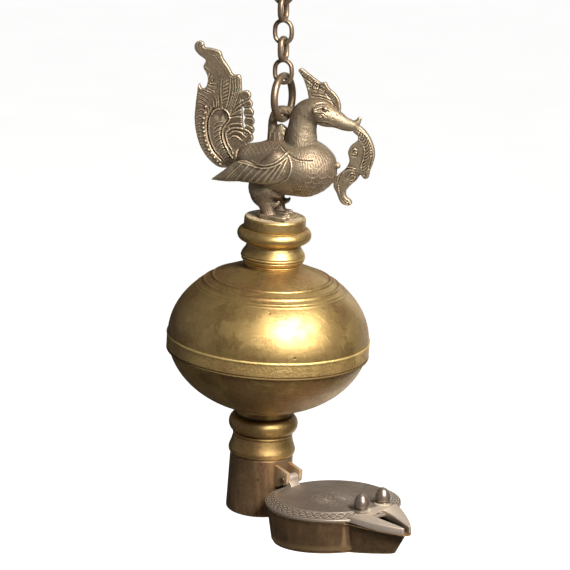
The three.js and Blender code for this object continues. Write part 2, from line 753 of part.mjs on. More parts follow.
// The matrix that takes a point on the cup's radial plane into the pan's level frame
function lampToPan(radius, height) {
  const place = new THREE.Matrix4().makeTranslation(panCentre, 0, panRise);
  place.multiply(new THREE.Matrix4().makeRotationY(-radians(panPitch)));
  return place.invert().multiply(new THREE.Matrix4().makeTranslation(radius, 0, height));
}

function inPan(radius, height) {
  return new THREE.Vector3().applyMatrix4(lampToPan(radius, height));
}

// The knuckle and the tongue that carries it, between the cup's two ears
function makeKnuckle(pin, width) {
  const r = knuckleRadius;
  const tongue = sharp([
    [pin.x - r, pin.z], [pin.x - r - 0.4, lidRise / 2], [pin.x + 1.7 * r, lidRise - lidPlate / 2],
    [pin.x + r, pin.z - r / 2], [pin.x + r, pin.z],
  ], width);
  return [tongue, crossDrum(r, width / 2, pin.x, pin.z)];
}

// A drum under each knob
function underKnobs(radius, bottom, top, flats) {
  return [-1, 1].map((side) => drum(radius, bottom, top, flats)
    .translate(knobPlace, (side * knobSpacing) / 2, 0));
}

function makeLid() {
  const plate = turned([
    [0, lidRise - lidPlate], [lidFieldRadius - 0.6, lidRise - lidPlate], [lidRadius - lidPlate, 0],
    [lidRadius, 0], [lidRadius, lidEdge], [lidFieldRadius + 0.3, lidRise], [0, lidRise],
  ], flatsLarge);
  const pin = inPan(pinX, pinHeight);
  const knuckle = makeKnuckle(pin, earSpacing - earThickness - 2 * gap);
  const [front, rear] = [panRadius - 2.5, knobPlace - 4];
  const brow = sharp([[rear, 1], [front, 1], [front, lidRise], [rear, lidRise]], knobSpacing);
  const pads = underKnobs(padRadius, lidRise - lidPlate, lidRise + padHeight, 24);
  const body = join(plate, ...knuckle, brow, ...pads, makeArm(-1), makeArm(1));
  const pinHole = crossDrum(pinRadius + gap, earSpacing, pin.x, pin.z);
  const rivetHoles = underKnobs(knobShank + gap, -lidArm, 2 * lidRise, flatsFine);
  return piece('lid', cut(body, pinHole, ...rivetHoles), bronzeGrey);
}

// Two wedge arms of the lid cover the spout's sides and leave the wick's opening between them
function makeArm(side) {
  const x = alongSpout;
  const root = spoutHip.along;
  const [a, b] = [spoutFlank.across * spoutHalfWidth, spoutCheek.across * spoutHalfWidth];
  const shape = new THREE.Shape();
  shape.moveTo(x(root), spoutHalfWidth);
  shape.bezierCurveTo(x(spoutFlank.along), a, x(spoutCheek.along), b, x(spoutLip), spoutTip);
  shape.lineTo(x(spoutLip), wickTip);
  shape.bezierCurveTo(x(0.8), wickTip, x(0.6), wickHalfWidth, x(0.44), wickHalfWidth);
  shape.lineTo(x(root), wickHalfWidth);
  const geometry = new THREE.ExtrudeGeometry(shape, { depth: 1, curveSegments: 7, bevelEnabled: false });
  const place = geometry.getAttribute('position');
  for (let i = 0; i < place.count; i += 1) {
    const run = place.getX(i) - slopeStart;
    const top = lidArm - lidArmSlope * run;
    place.setZ(i, place.getZ(i) > 0.5 ? top : -spoutDrop - spoutSlope * run);
  }
  const arm = side > 0 ? geometry : geometry.scale(1, -1, 1);
  return arm.rotateZ(radians(spoutTurn));
}

function makeKnob(name, side) {
  const seat = lidRise + padHeight + gap;
  const rivet = -gap;
  const head = [knobShank + 1.1, rivet - 1.2];
  const shape = turned([
    [0, head[1]], head, [head[0], rivet], [knobShank, rivet], [knobShank, seat],
    [knobRadius * 0.62, seat], [knobRadius * 0.55, seat + 0.1 * knobHeight],
    [knobRadius * 0.86, seat + 0.17 * knobHeight], [knobRadius, seat + 0.3 * knobHeight],
    [knobRadius * 0.98, seat + 0.46 * knobHeight], [knobRadius * 0.78, seat + 0.68 * knobHeight],
    [knobRadius * 0.4, seat + 0.9 * knobHeight], [0, seat + knobHeight],
  ], 16);
  shape.translate(knobPlace, (side * knobSpacing) / 2, 0);
  return piece(name, shape, bronzeGrey);
}

// Top hook: a crown over the suspension point, a shank and a closed eye for the first link

const eyeCentre = -hookShank - hookEye;

function makeHook() {
  const bend = 9;
  const r = hookCrown + hookWire / 2;
  const crown = [];
  for (let turn = -30; turn <= 180; turn += 30) {
    crown.push([r * Math.cos(radians(turn)), 0, -hookCrown + r * Math.sin(radians(turn))]);
  }
  const path = [
    ...crown, [-r * 0.8, 0, -hookCrown - bend], [-1, 0, -hookShank + 1], [0, 0, -hookShank - hookEye / 2]];
  const shank = wire(path, hookWire / 2, 22, 8);
  const across = hookEye + linkWire;
  const eye = ovalRing(across, across, linkWire).translate(0, 0, eyeCentre);
  return piece('top_hook', join(shank, eye), bronzeRed);
}

// A link has two eyes at right angles with one shared bar; the upper eye stands in the YZ plane
function makeLink(name) {
  const eye = () => ovalRing(linkWidth, linkEye, linkWire).scale(1, linkStrip / linkWire, 1);
  const shift = (linkEye - linkWire) / 2;
  const upper = eye().rotateZ(Math.PI / 2).translate(0, 0, shift);
  return piece(name, join(upper, eye().translate(0, 0, -shift)), bronzeRed);
}

// Chain, ring and lamp hang in one plumb line under the origin

const hook = makeHook();
hook.rotation.z = radians(linkTurn);
const object = new THREE.Group();
object.add(hook);

const linkReach = linkEye - linkWire;
const linkDrop = linkWire + linkSlack;
let bar = eyeCentre - hookEye / 2;

for (let i = 1; i <= linkCount; i += 1) {
  const link = makeLink(`chain_link_${i}`);
  link.rotation.z = radians(linkTurn);
  link.position.z = bar + linkDrop - linkReach;
  bar = link.position.z - linkReach;
  object.add(link);
}

const ringReach = (ringHeight - ringWire) / 2;
const ringCentre = bar + (linkWire + ringWire) / 2 + linkSlack - ringReach;
const ring = piece('suspension_ring', ovalRing(ringWidth, ringHeight, ringWire, 24, 8), bronzeRed);
ring.rotation.z = radians(ringTurn);
ring.position.z = ringCentre;
object.add(ring);

// The lamp's own frame: z along its axis from the cup's underside

const bird = new THREE.Group();
bird.add(makeBird(), makeTail(), makeCrest(), makeSprig());
bird.rotation.z = radians(birdTurn);
bird.position.z = plinthTop;

const pan = new THREE.Group();
pan.add(makePan(), makeLid(), makeKnob('knob_near', -1), makeKnob('knob_far', 1));
pan.rotation.y = -radians(panPitch);
pan.position.set(panCentre, 0, panRise);

const feed = new THREE.Group();
feed.add(makeCup(), makePin(), makeFeedTube(), pan);
feed.rotation.z = radians(panTurn);

const lamp = new THREE.Group();
lamp.add(feed, makeLowerNeck(), makeDipTube(), makeLowerBowl(), makeUpperBowl(), makeBand());
lamp.add(makeUpperNeck(), makePlinth(), bird);
object.add(lamp);

// The lamp leans until its centre of mass hangs straight under the ring

function centreOfMass(group) {
  group.updateMatrixWorld(true);
  const sum = new THREE.Vector3();
  let whole = 0;
  group.traverse((node) => {
    if (!node.isMesh) return;
    const geometry = node.geometry.clone().applyMatrix4(node.matrixWorld);
    const place = geometry.getAttribute('position');
    const order = geometry.getIndex();
    const [a, b, c] = [new THREE.Vector3(), new THREE.Vector3(), new THREE.Vector3()];
    for (let i = 0; i < order.count; i += 3) {
      a.fromBufferAttribute(place, order.getX(i));
      b.fromBufferAttribute(place, order.getX(i + 1));
      c.fromBufferAttribute(place, order.getX(i + 2));
      const part = a.dot(b.clone().cross(c)) / 6;
      whole += part;
      sum.add(a.add(b).add(c).multiplyScalar(part / 4));
    }
  });
  return sum.divideScalar(whole);
}

const ringBar = ringCentre - ringReach;
const eyeGap = eyeBarRadius + gap + ringWire / 2;
const hangPoint = new THREE.Vector3(eyeForward, 0, plinthTop + eyeHeight - eyeGap).applyAxisAngle(
  new THREE.Vector3(0, 0, 1), radians(birdTurn));
const plumb = hangPoint.clone().sub(centreOfMass(lamp)).normalize();
lamp.quaternion.setFromUnitVectors(plumb, new THREE.Vector3(0, 0, 1));
lamp.position.set(0, 0, ringBar).sub(hangPoint.clone().applyQuaternion(lamp.quaternion));

export default object;
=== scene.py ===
"""A hanging bronze oil lamp: chain, ring, goose on a plinth, oil reservoir, feed cup and lidded lamp pan."""

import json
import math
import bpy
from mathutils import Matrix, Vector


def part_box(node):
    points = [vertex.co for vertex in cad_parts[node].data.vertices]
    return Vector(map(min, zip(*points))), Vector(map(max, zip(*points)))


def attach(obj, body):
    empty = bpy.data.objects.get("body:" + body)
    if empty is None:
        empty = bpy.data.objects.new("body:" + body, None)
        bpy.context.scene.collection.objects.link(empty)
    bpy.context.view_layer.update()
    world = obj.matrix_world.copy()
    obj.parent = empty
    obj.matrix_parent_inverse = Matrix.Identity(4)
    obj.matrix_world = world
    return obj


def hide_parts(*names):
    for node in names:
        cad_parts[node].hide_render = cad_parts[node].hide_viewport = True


bl_info = {
    "name": "Hanging bronze oil lamp",
    "version": (1, 0, 0),
    "blender": (4, 5, 0),
    "location": "View3D > Sidebar > Oil lamp",
    "description": "Builds the pieces of a hanging bronze oil lamp and the studio it hangs in",
    "category": "Object",
}

import bmesh
import bpy
import numpy as np
from bpy.props import FloatProperty, FloatVectorProperty, IntProperty, PointerProperty
from mathutils import Matrix, Vector

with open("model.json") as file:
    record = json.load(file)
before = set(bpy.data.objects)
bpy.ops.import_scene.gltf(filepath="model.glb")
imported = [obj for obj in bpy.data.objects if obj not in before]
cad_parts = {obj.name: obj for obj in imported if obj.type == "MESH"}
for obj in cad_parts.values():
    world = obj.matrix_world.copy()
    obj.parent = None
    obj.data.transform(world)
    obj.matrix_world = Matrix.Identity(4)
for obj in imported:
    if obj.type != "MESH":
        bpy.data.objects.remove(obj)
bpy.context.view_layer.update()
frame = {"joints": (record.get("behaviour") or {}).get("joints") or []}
JOINTS = {joint["name"]: joint for joint in frame["joints"]}

MM = 0.001
GAP = 0.3
LINKS = 3

# Heights along the lamp's axis, in millimetres from the cup's underside
CUP_TOP = 53.1
RESERVOIR_CENTRE = 160.9
PLINTH_TOP = 270.89
PAN_RISE = 30.8
PAN_CENTRE = 90.3

# The reservoir's two mouths, its wall and the height of its seam from its middle
UPPER_MOUTH = 20.0
LOWER_MOUTH = 22.0
BOWL_WALL = 3.0
SEAM = -5.7

# The beads turned on the reservoir's shoulder, between two radii: each one's inner and outer radius, and rise
SHOULDER_OUTER, SHOULDER_INNER = 68.6, 49.5
SHOULDER_BEADS = ((65.9, 67.4, 0.22), (63.6, 65.0, 0.22), (58.6, 61.0, 0.6), (50.8, 53.4, 0.8))

# Turns of the chain, the ring, the goose and the pan about +Z, and the pan's pitch, in degrees
LINK_TURN = -20.0
RING_TURN = 65.0
GOOSE_TURN = -15.0
PAN_TURN = -44.5
PAN_PITCH = 4.6

# The camera looks at the middle of the reservoir
CAMERA_DISTANCE = 2.3
CAMERA_ELEVATION = 13.0
CAMERA_LENS = 163.6
CAMERA_SHIFT = (0.0293, 0.0899)
SENSOR_WIDTH = 36.0
CAMERA_REACH = 50.0

# The studio, in metres: name, direction, distance, side, watts and colour of each lamp
FLOOR_DROP = -1.05
SOFT_LAMPS = (
    ("key", (0.43, -0.74, 0.54), 1.9, 0.45, 54.0, (1.0, 0.98, 0.94)),
    ("spot", (0.52, -0.64, 0.86), 2.2, 0.14, 56.0, (1.0, 0.97, 0.92)),
    ("top", (0.1, 0.5, 1.0), 2.2, 1.2, 4.0, (1.0, 1.0, 1.0)))

# Noise in the bronze, per metre, and the colours that lie over it
PATCHES, CLOUDS, GRAIN, SPECKS = 21.0, 34.0, 420.0, 1700.0
DRIPS, PIT_CELLS, PITTED_AREAS, GREEN_SPOTS = 150.0, 95.0, 60.0, 120.0
REDDISH = (0.72, 0.52, 0.62)
DUST_AND_HIGHLIGHT = (0.4, 0.345, 0.25)
VERDIGRIS = (0.22, 0.34, 0.2)


# Sizes and colours that a user would change

def millimetres(label, text, default, low=0.0, high=0.5):
    """A length that is shown in the scene's units and kept in metres."""
    return FloatProperty(name=label, description=text, default=default * MM, min=low, max=high,
                         unit="LENGTH", precision=4)


def finish(label, text, default):
    """A colour of the metal."""
    return FloatVectorProperty(name=label, description=text, default=default, size=3,
                               subtype="COLOR", min=0.0, max=1.0)


class LampSizes(bpy.types.PropertyGroup):
    """Main sizes of the lamp."""
    link_wire: millimetres("Link wire", "Thickness of the chain's flat wire", 3.9)
    link_strip: millimetres("Link strip", "Breadth of the chain's flat wire", 5.2)
    link_width: millimetres("Link width", "Width of a link's eye", 19.2)
    link_eye: millimetres("Link eye", "Height of a link's eye", 23.3)
    ring_wire: millimetres("Ring wire", "Thickness of the suspension ring", 6.7)
    ring_width: millimetres("Ring width", "Width of the suspension ring", 44.0)
    reservoir_radius: millimetres("Reservoir radius", "Radius of the oil reservoir", 89.5)
    reservoir_half: millimetres("Reservoir half height", "Half the height of the full oval", 67.6)
    cup_radius: millimetres("Cup radius", "Radius of the feed cup", 28.3)
    pan_radius: millimetres("Pan radius", "Radius of the lamp pan at its rim", 58.5)
    lid_radius: millimetres("Lid radius", "Radius of the lid's round plate", 59.7)
    knob_radius: millimetres("Knob radius", "Radius of an acorn knob", 6.8)
    carving: millimetres("Carving step", "Spacing of the points on the carved goose", 0.5, 0.0002, 0.003)
    flats: IntProperty(name="Turned steps", description="Number of steps round a turned piece",
                       default=256, min=24, max=720)


class LampColours(bpy.types.PropertyGroup):
    """Colours of the bronze."""
    gold: finish("Turned bronze", "Golden bronze of the reservoir and necks", (0.42, 0.28, 0.105))
    brown: finish("Cup bronze", "Brown bronze of the feed cup and pan", (0.21, 0.13, 0.066))
    dusty: finish("Carved bronze", "Dusty bronze of the goose", (0.27, 0.208, 0.138))
    red: finish("Chain bronze", "Reddish bronze of the chain and ring", (0.22, 0.155, 0.1))
    grey: finish("Lid bronze", "Grey-brown bronze of the lid and knobs", (0.24, 0.195, 0.155))
    floor: finish("Floor", "Pale colour of the studio floor", (0.93, 0.93, 0.92))


def sizes():
    """The sizes of the open scene."""
    return bpy.context.scene.lamp_sizes


def colours():
    """The colours of the open scene."""
    return bpy.context.scene.lamp_colours


def size(name):
    """A size in millimetres."""
    return getattr(sizes(), name) / MM


# Frames: matrices that place millimetre shapes in the row's frame, in metres

def lamp_frame():
    """The lamp's own frame, from the cup's underside up its axis."""
    axis = Vector(JOINTS["cup_turn"]["axis"])
    foot = Vector(JOINTS["cup_turn"]["pos_m"]) - axis * CUP_TOP * MM
    lean = Vector((0.0, 0.0, 1.0)).rotation_difference(axis).to_matrix().to_4x4()
    return Matrix.Translation(foot) @ lean @ Matrix.Scale(MM, 4)


def goose_frame():
    """The goose's frame: x toward the beak, z from the plinth's top."""
    turn = Matrix.Rotation(math.radians(GOOSE_TURN), 4, "Z")
    return lamp_frame() @ turn @ Matrix.Translation((0.0, 0.0, PLINTH_TOP))


def feed_frame():
    """The cup's frame: x toward the pan."""
    return lamp_frame() @ Matrix.Rotation(math.radians(PAN_TURN), 4, "Z")


def pan_frame():
    """The pan's frame: the middle of its round part, at the rim."""
    place = Matrix.Translation((PAN_CENTRE, 0.0, PAN_RISE))
    return feed_frame() @ place @ Matrix.Rotation(math.radians(-PAN_PITCH), 4, "Y")


# Curves and meshes

def spline(keys, count, closed=False):
    """Points along a smooth curve through keys of any width, evenly spread between the keys."""
    keys = np.asarray(keys, float)
    ends = (keys[-1:], keys[:2]) if closed else (2 * keys[:1] - keys[1:2], 2 * keys[-1:] - keys[-2:-1])
    line = np.vstack([ends[0], keys, ends[1]])
    spans = len(line) - 3
    out = []
    for t in np.linspace(0, spans, count, endpoint=not closed):
        i = min(int(t), spans - 1)
        out.append(curve_point(line[i:i + 4], t - i))
    return np.array(out)


def curve_point(four, f):
    """A point of the centripetal curve between the middle two of four keys."""
    knots = [0.0]
    for a, b in zip(four, four[1:]):
        knots.append(knots[-1] + max(np.linalg.norm(b - a), 1e-6) ** 0.5)
    t = knots[1] + (knots[2] - knots[1]) * f

    def mix(a, b, i, j):
        return a + (b - a) * (t - knots[i]) / (knots[j] - knots[i])

    first = [mix(four[i], four[i + 1], i, i + 1) for i in range(3)]
    second = [mix(first[i], first[i + 1], i, i + 2) for i in range(2)]
    return mix(second[0], second[1], 1, 2)


def rounded(profile, radius, steps=4):
    """The same profile with its inner corners rounded off."""
    profile = [np.array(p, float) for p in profile]
    out = [profile[0]]
    for a, b, c in zip(profile, profile[1:], profile[2:]):
        before, after = np.linalg.norm(a - b), np.linalg.norm(c - b)
        reach = min(radius, before * 0.45, after * 0.45)
        start = b + (a - b) * reach / max(before, 1e-9)
        end = b + (c - b) * reach / max(after, 1e-9)
        for t in np.linspace(0, 1, steps):
            out.append((1 - t) ** 2 * start + 2 * t * (1 - t) * b + t * t * end)
    out.append(profile[-1])
    return out


def dense(profile, step=1.0):
    """The same profile with no two points further apart than the step."""
    out = [np.array(profile[0], float)]
    for a, b in zip(profile, profile[1:]):
        a, b = np.array(a, float), np.array(b, float)
        count = max(1, math.ceil(np.linalg.norm(b - a) / step))
        out += [a + (b - a) * k / count for k in range(1, count + 1)]
    return out


def full_turn(steps):
    """Angles round a full turn."""
    return np.linspace(0, 2 * math.pi, steps, endpoint=False)


def unit(rows):
    """Rows of three numbers, each made one long."""
    return rows / np.linalg.norm(rows, axis=1)[:, None]


def new_mesh(name, points, faces):
    """A mesh of points and faces."""
    mesh = bpy.data.meshes.new(name)
    mesh.from_pydata([tuple(p) for p in points], [], faces)
    return mesh


def linked(name, data):
    """An object of the scene that shows a mesh, a lamp or a camera."""
    obj = bpy.data.objects.new(name, data)
    bpy.context.scene.collection.objects.link(obj)
    return obj


def ring_mesh(name, rings, loop=False):
    """A mesh through rings that have the same number of points each, closed by its ends or as a loop."""
    rings = np.asarray(rings, float)
    rows, count, _ = rings.shape
    faces = []
    for j in range(rows if loop else rows - 1):
        low, high = j * count, ((j + 1) % rows) * count
        for i in range(count):
            k = (i + 1) % count
            faces.append((low + i, low + k, high + k, high + i))
    if not loop:
        faces += [tuple(reversed(range(count))), tuple(range((rows - 1) * count, rows * count))]
    return outward(new_mesh(name, rings.reshape(-1, 3), faces))


def outward(mesh):
    """Welds a mesh and turns its faces outward."""
    work = bmesh.new()
    work.from_mesh(mesh)
    bmesh.ops.remove_doubles(work, verts=work.verts, dist=1e-5)
    bmesh.ops.recalc_face_normals(work, faces=work.faces)
    work.to_mesh(mesh)
    work.free()
    return mesh


def spin(name, profile, flats=None, loop=False):
    """A turned mesh from a profile of radius and height."""
    profile = np.asarray(profile, float)
    flats = flats or sizes().flats
    turn = full_turn(flats)
    radius = np.maximum(profile[:, :1], 1e-4)
    rings = np.stack([radius * np.cos(turn), radius * np.sin(turn),
                      np.repeat(profile[:, 1:], flats, axis=1)], axis=2)
    return ring_mesh(name, rings, loop=loop)


def loft(name, keys, steps, sides=40):
    """A rounded limb: keys are x, y, z, half height in its plane and half width across it."""
    line = spline(keys, steps + 1)
    along = unit(np.gradient(line[:, :3], axis=0))
    up = unit(np.cross(along, (0.0, 1.0, 0.0)))
    across = np.cross(up, along)
    turn = full_turn(sides)
    rings = (line[:, None, :3]
             + up[:, None] * (line[:, 3, None] * np.cos(turn))[:, :, None]
             + across[:, None] * (line[:, 4, None] * np.sin(turn))[:, :, None])
    return ring_mesh(name, rings)


def tube(name, points, radius, steps=120, sides=28, closed=False):
    """A round wire along smooth points; the radius may be one number or one for each point."""
    line = spline(np.column_stack([points, np.broadcast_to(radius, len(points))]), steps, closed)
    path = line[:, :3]
    along = unit(np.roll(path, -1, 0) - np.roll(path, 1, 0) if closed else np.gradient(path, axis=0))
    flat = np.linalg.svd(path - path.mean(0))[2][2]
    side = unit(np.cross(along, flat))
    up = np.cross(side, along)
    turn = full_turn(sides)
    rings = (path[:, None] + line[:, 3, None, None]
             * (side[:, None] * np.cos(turn)[None, :, None] + up[:, None] * np.sin(turn)[None, :, None]))
    return ring_mesh(name, rings, loop=closed)


def plate(name, outline, thickness, bevel=0.5, smooth=0, holes=()):
    """A flat plate standing in the XZ plane, with its edges eased."""
    curve = bpy.data.curves.new(name, "CURVE")
    curve.dimensions = "2D"
    curve.fill_mode = "BOTH"
    curve.extrude = thickness / 2 - bevel
    curve.bevel_depth = bevel
    curve.bevel_resolution = 2
    curve.offset = -bevel
    for edge in (outline, *holes):
        points = spline(edge, smooth, closed=True) if smooth else np.asarray(edge, float)
        line = curve.splines.new("POLY")
        line.points.add(len(points) - 1)
        line.points.foreach_set("co", np.column_stack(
            [points, np.zeros(len(points)), np.ones(len(points))]).ravel())
        line.use_cyclic_u = True
    holder = bpy.data.objects.new(name, curve)
    mesh = bpy.data.meshes.new_from_object(holder)
    bpy.data.objects.remove(holder)
    bpy.data.curves.remove(curve)
    mesh.transform(Matrix.Rotation(math.pi / 2, 4, "X"))
    return outward(mesh)


def moved(mesh, x=0.0, y=0.0, z=0.0, turn=None):
    """The mesh, turned by a matrix and moved."""
    mesh.transform(Matrix.Translation((x, y, z)) @ (turn or Matrix.Identity(4)))
    return mesh


def merged(name, meshes):
    """One mesh of several, left as separate shells."""
    work = bmesh.new()
    for mesh in meshes:
        work.from_mesh(mesh)
        bpy.data.meshes.remove(mesh)
    whole = bpy.data.meshes.new(name)
    work.to_mesh(whole)
    work.free()
    return whole


def fused(name, meshes, step, blend):
    """One carved body: the meshes are joined into one skin, and the seams between them are softened."""
    obj = linked(name, merged(name, meshes))
    skin = obj.modifiers.new("skin", "REMESH")
    skin.mode = "VOXEL"
    skin.voxel_size = step * 1.0
    soft = obj.modifiers.new("soft", "SMOOTH")
    soft.factor, soft.iterations = 0.5, blend
    rough = obj.data
    mesh = bpy.data.meshes.new_from_object(obj.evaluated_get(bpy.context.evaluated_depsgraph_get()))
    bpy.data.objects.remove(obj)
    bpy.data.meshes.remove(rough)
    return mesh


# Points of a mesh as arrays, and marks left by the maker and by use; the worn-edge mark also holds painted
# light on some pieces

def read_points(mesh, key):
    """Three numbers for each of a mesh's points."""
    flat = np.zeros(len(mesh.vertices) * 3, np.float32)
    mesh.vertices.foreach_get(key, flat)
    return flat.reshape(-1, 3).astype(float)


def points_of(mesh):
    """The places of a mesh's points."""
    return read_points(mesh, "co")


def normals_of(mesh):
    """The directions that a mesh's points face."""
    return read_points(mesh, "normal")


def set_points(mesh, places):
    """Moves a mesh's points."""
    mesh.vertices.foreach_set("co", places.astype(np.float32).ravel())
    mesh.update()


def edges_of(mesh):
    """The pairs of points that edges join."""
    flat = np.zeros(len(mesh.edges) * 2, np.int32)
    mesh.edges.foreach_get("vertices", flat)
    return flat.reshape(-1, 2)


def mark(mesh, name, values):
    """Keeps a number for each point, for the materials to read."""
    layer = mesh.attributes.new(name, "FLOAT", "POINT")
    layer.data.foreach_set("value", np.clip(values, 0, 1).astype(np.float32))


def worn_edges(mesh, reach=0.35, rounds=4):
    """How far each point stands proud of its surroundings: half is flat, more is worn, less is grimy."""
    places, facing, edges = points_of(mesh), normals_of(mesh), edges_of(mesh)
    smooth = places.copy()
    count = np.bincount(edges.ravel(), minlength=len(places)).clip(1)[:, None]
    for _ in range(rounds):
        total = np.zeros_like(smooth)
        np.add.at(total, edges[:, 0], smooth[edges[:, 1]])
        np.add.at(total, edges[:, 1], smooth[edges[:, 0]])
        smooth = 0.4 * smooth + 0.6 * total / count
    proud = np.einsum("ij,ij->i", places - smooth, facing)
    proud -= np.median(proud)
    return 0.5 + 0.5 * np.tanh(proud / reach)


def stroke_depth(flat, strokes):
    """How far drawn strokes raise or sink each of some flat points."""
    depth = np.zeros(len(flat))
    for keys, width, height in strokes:
        line = spline(keys, max(2, 5 * len(keys))) if len(keys) > 2 else np.asarray(keys, float)
        low, high = line.min(0) - 3 * width, line.max(0) + 3 * width
        near = np.all((flat > low) & (flat < high), axis=1)
        depth[near] += height * np.exp(-(distance_to(flat[near], line) / width) ** 2)
    return depth


def distance_to(flat, line):
    """The distance of each flat point from a line of points."""
    best = np.full(len(flat), 1e9)
    for a, b in zip(line, line[1:]):
        run = b - a
        t = np.clip(((flat - a) @ run) / max(run @ run, 1e-12), 0, 1)
        best = np.minimum(best, np.linalg.norm(flat - a - t[:, None] * run, axis=1))
    return best


def between(first, second, count):
    """Strokes spread between two strokes."""
    a, b = spline(first, 9), spline(second, 9)
    return [a + (b - a) * k / (count + 1) for k in range(1, count + 1)]


def shifted(keys, x, z):
    """A stroke moved by some millimetres."""
    return [(a + x, b + z) for a, b in keys]


# Bronze

class Nodes:
    """A small hand for building the nodes of a material or of the world."""

    def __init__(self, owner):
        owner.use_nodes = True
        self.owner = owner
        self.tree = owner.node_tree
        self.tree.nodes.clear()

    def add(self, kind, settings=None, **inputs):
        """Adds a node; an input is a number, a colour or the output of another node."""
        node = self.tree.nodes.new("ShaderNode" + kind)
        for key, value in (settings or {}).items():
            setattr(node, key, value)
        for key, value in inputs.items():
            by_place = key[0] == "i" and key[1:].isdigit()
            socket = node.inputs[int(key[1:]) if by_place else key.replace("_", " ")]
            if isinstance(value, bpy.types.NodeSocket):
                self.tree.links.new(value, socket)
            elif socket.type == "RGBA":
                socket.default_value = (*value, 1.0)
            else:
                socket.default_value = value
        return node

    def place(self):
        """The place of each point, in metres."""
        return self.add("TexCoord").outputs["Object"]

    def marked(self, name):
        """The number that a mesh keeps for each point under a name."""
        return self.add("Attribute", {"attribute_name": name}).outputs["Fac"]

    def mix(self, amount, first, second):
        """A colour between two."""
        return self.add("Mix", {"data_type": "RGBA"}, i0=amount, i6=first, i7=second).outputs[2]

    def ramp(self, value, low, high, start=0.0, end=1.0):
        """A number moved from one range to another and held inside it."""
        node = self.add("MapRange", {"interpolation_type": "SMOOTHSTEP"}, Value=value,
                        From_Min=low, From_Max=high, To_Min=start, To_Max=end)
        return node.outputs[0]

    def math(self, operation, first, second):
        """Arithmetic on two numbers."""
        return self.add("Math", {"operation": operation}, i0=first, i1=second).outputs[0]

    def plus(self, first, second):
        """The sum of two numbers."""
        return self.math("ADD", first, second)

    def minus(self, first, second):
        """The first number less the second."""
        return self.math("SUBTRACT", first, second)

    def times(self, first, second):
        """The product of two numbers."""
        return self.math("MULTIPLY", first, second)

    def larger(self, first, second):
        """The larger of two numbers."""
        return self.math("MAXIMUM", first, second)

    def noise(self, where, scale, detail=4.0, roughness=0.55):
        """Smooth noise of a size given by its scale for each metre."""
        node = self.add("TexNoise", None, Vector=where, Scale=scale, Detail=detail, Roughness=roughness)
        return node.outputs[0]


def tint(colour, amount, warm=1.0):
    """A lighter or darker shade of a colour."""
    r, g, b = colour
    return (min(r * amount * warm, 1.0), min(g * amount, 1.0), min(b * amount / warm, 1.0))


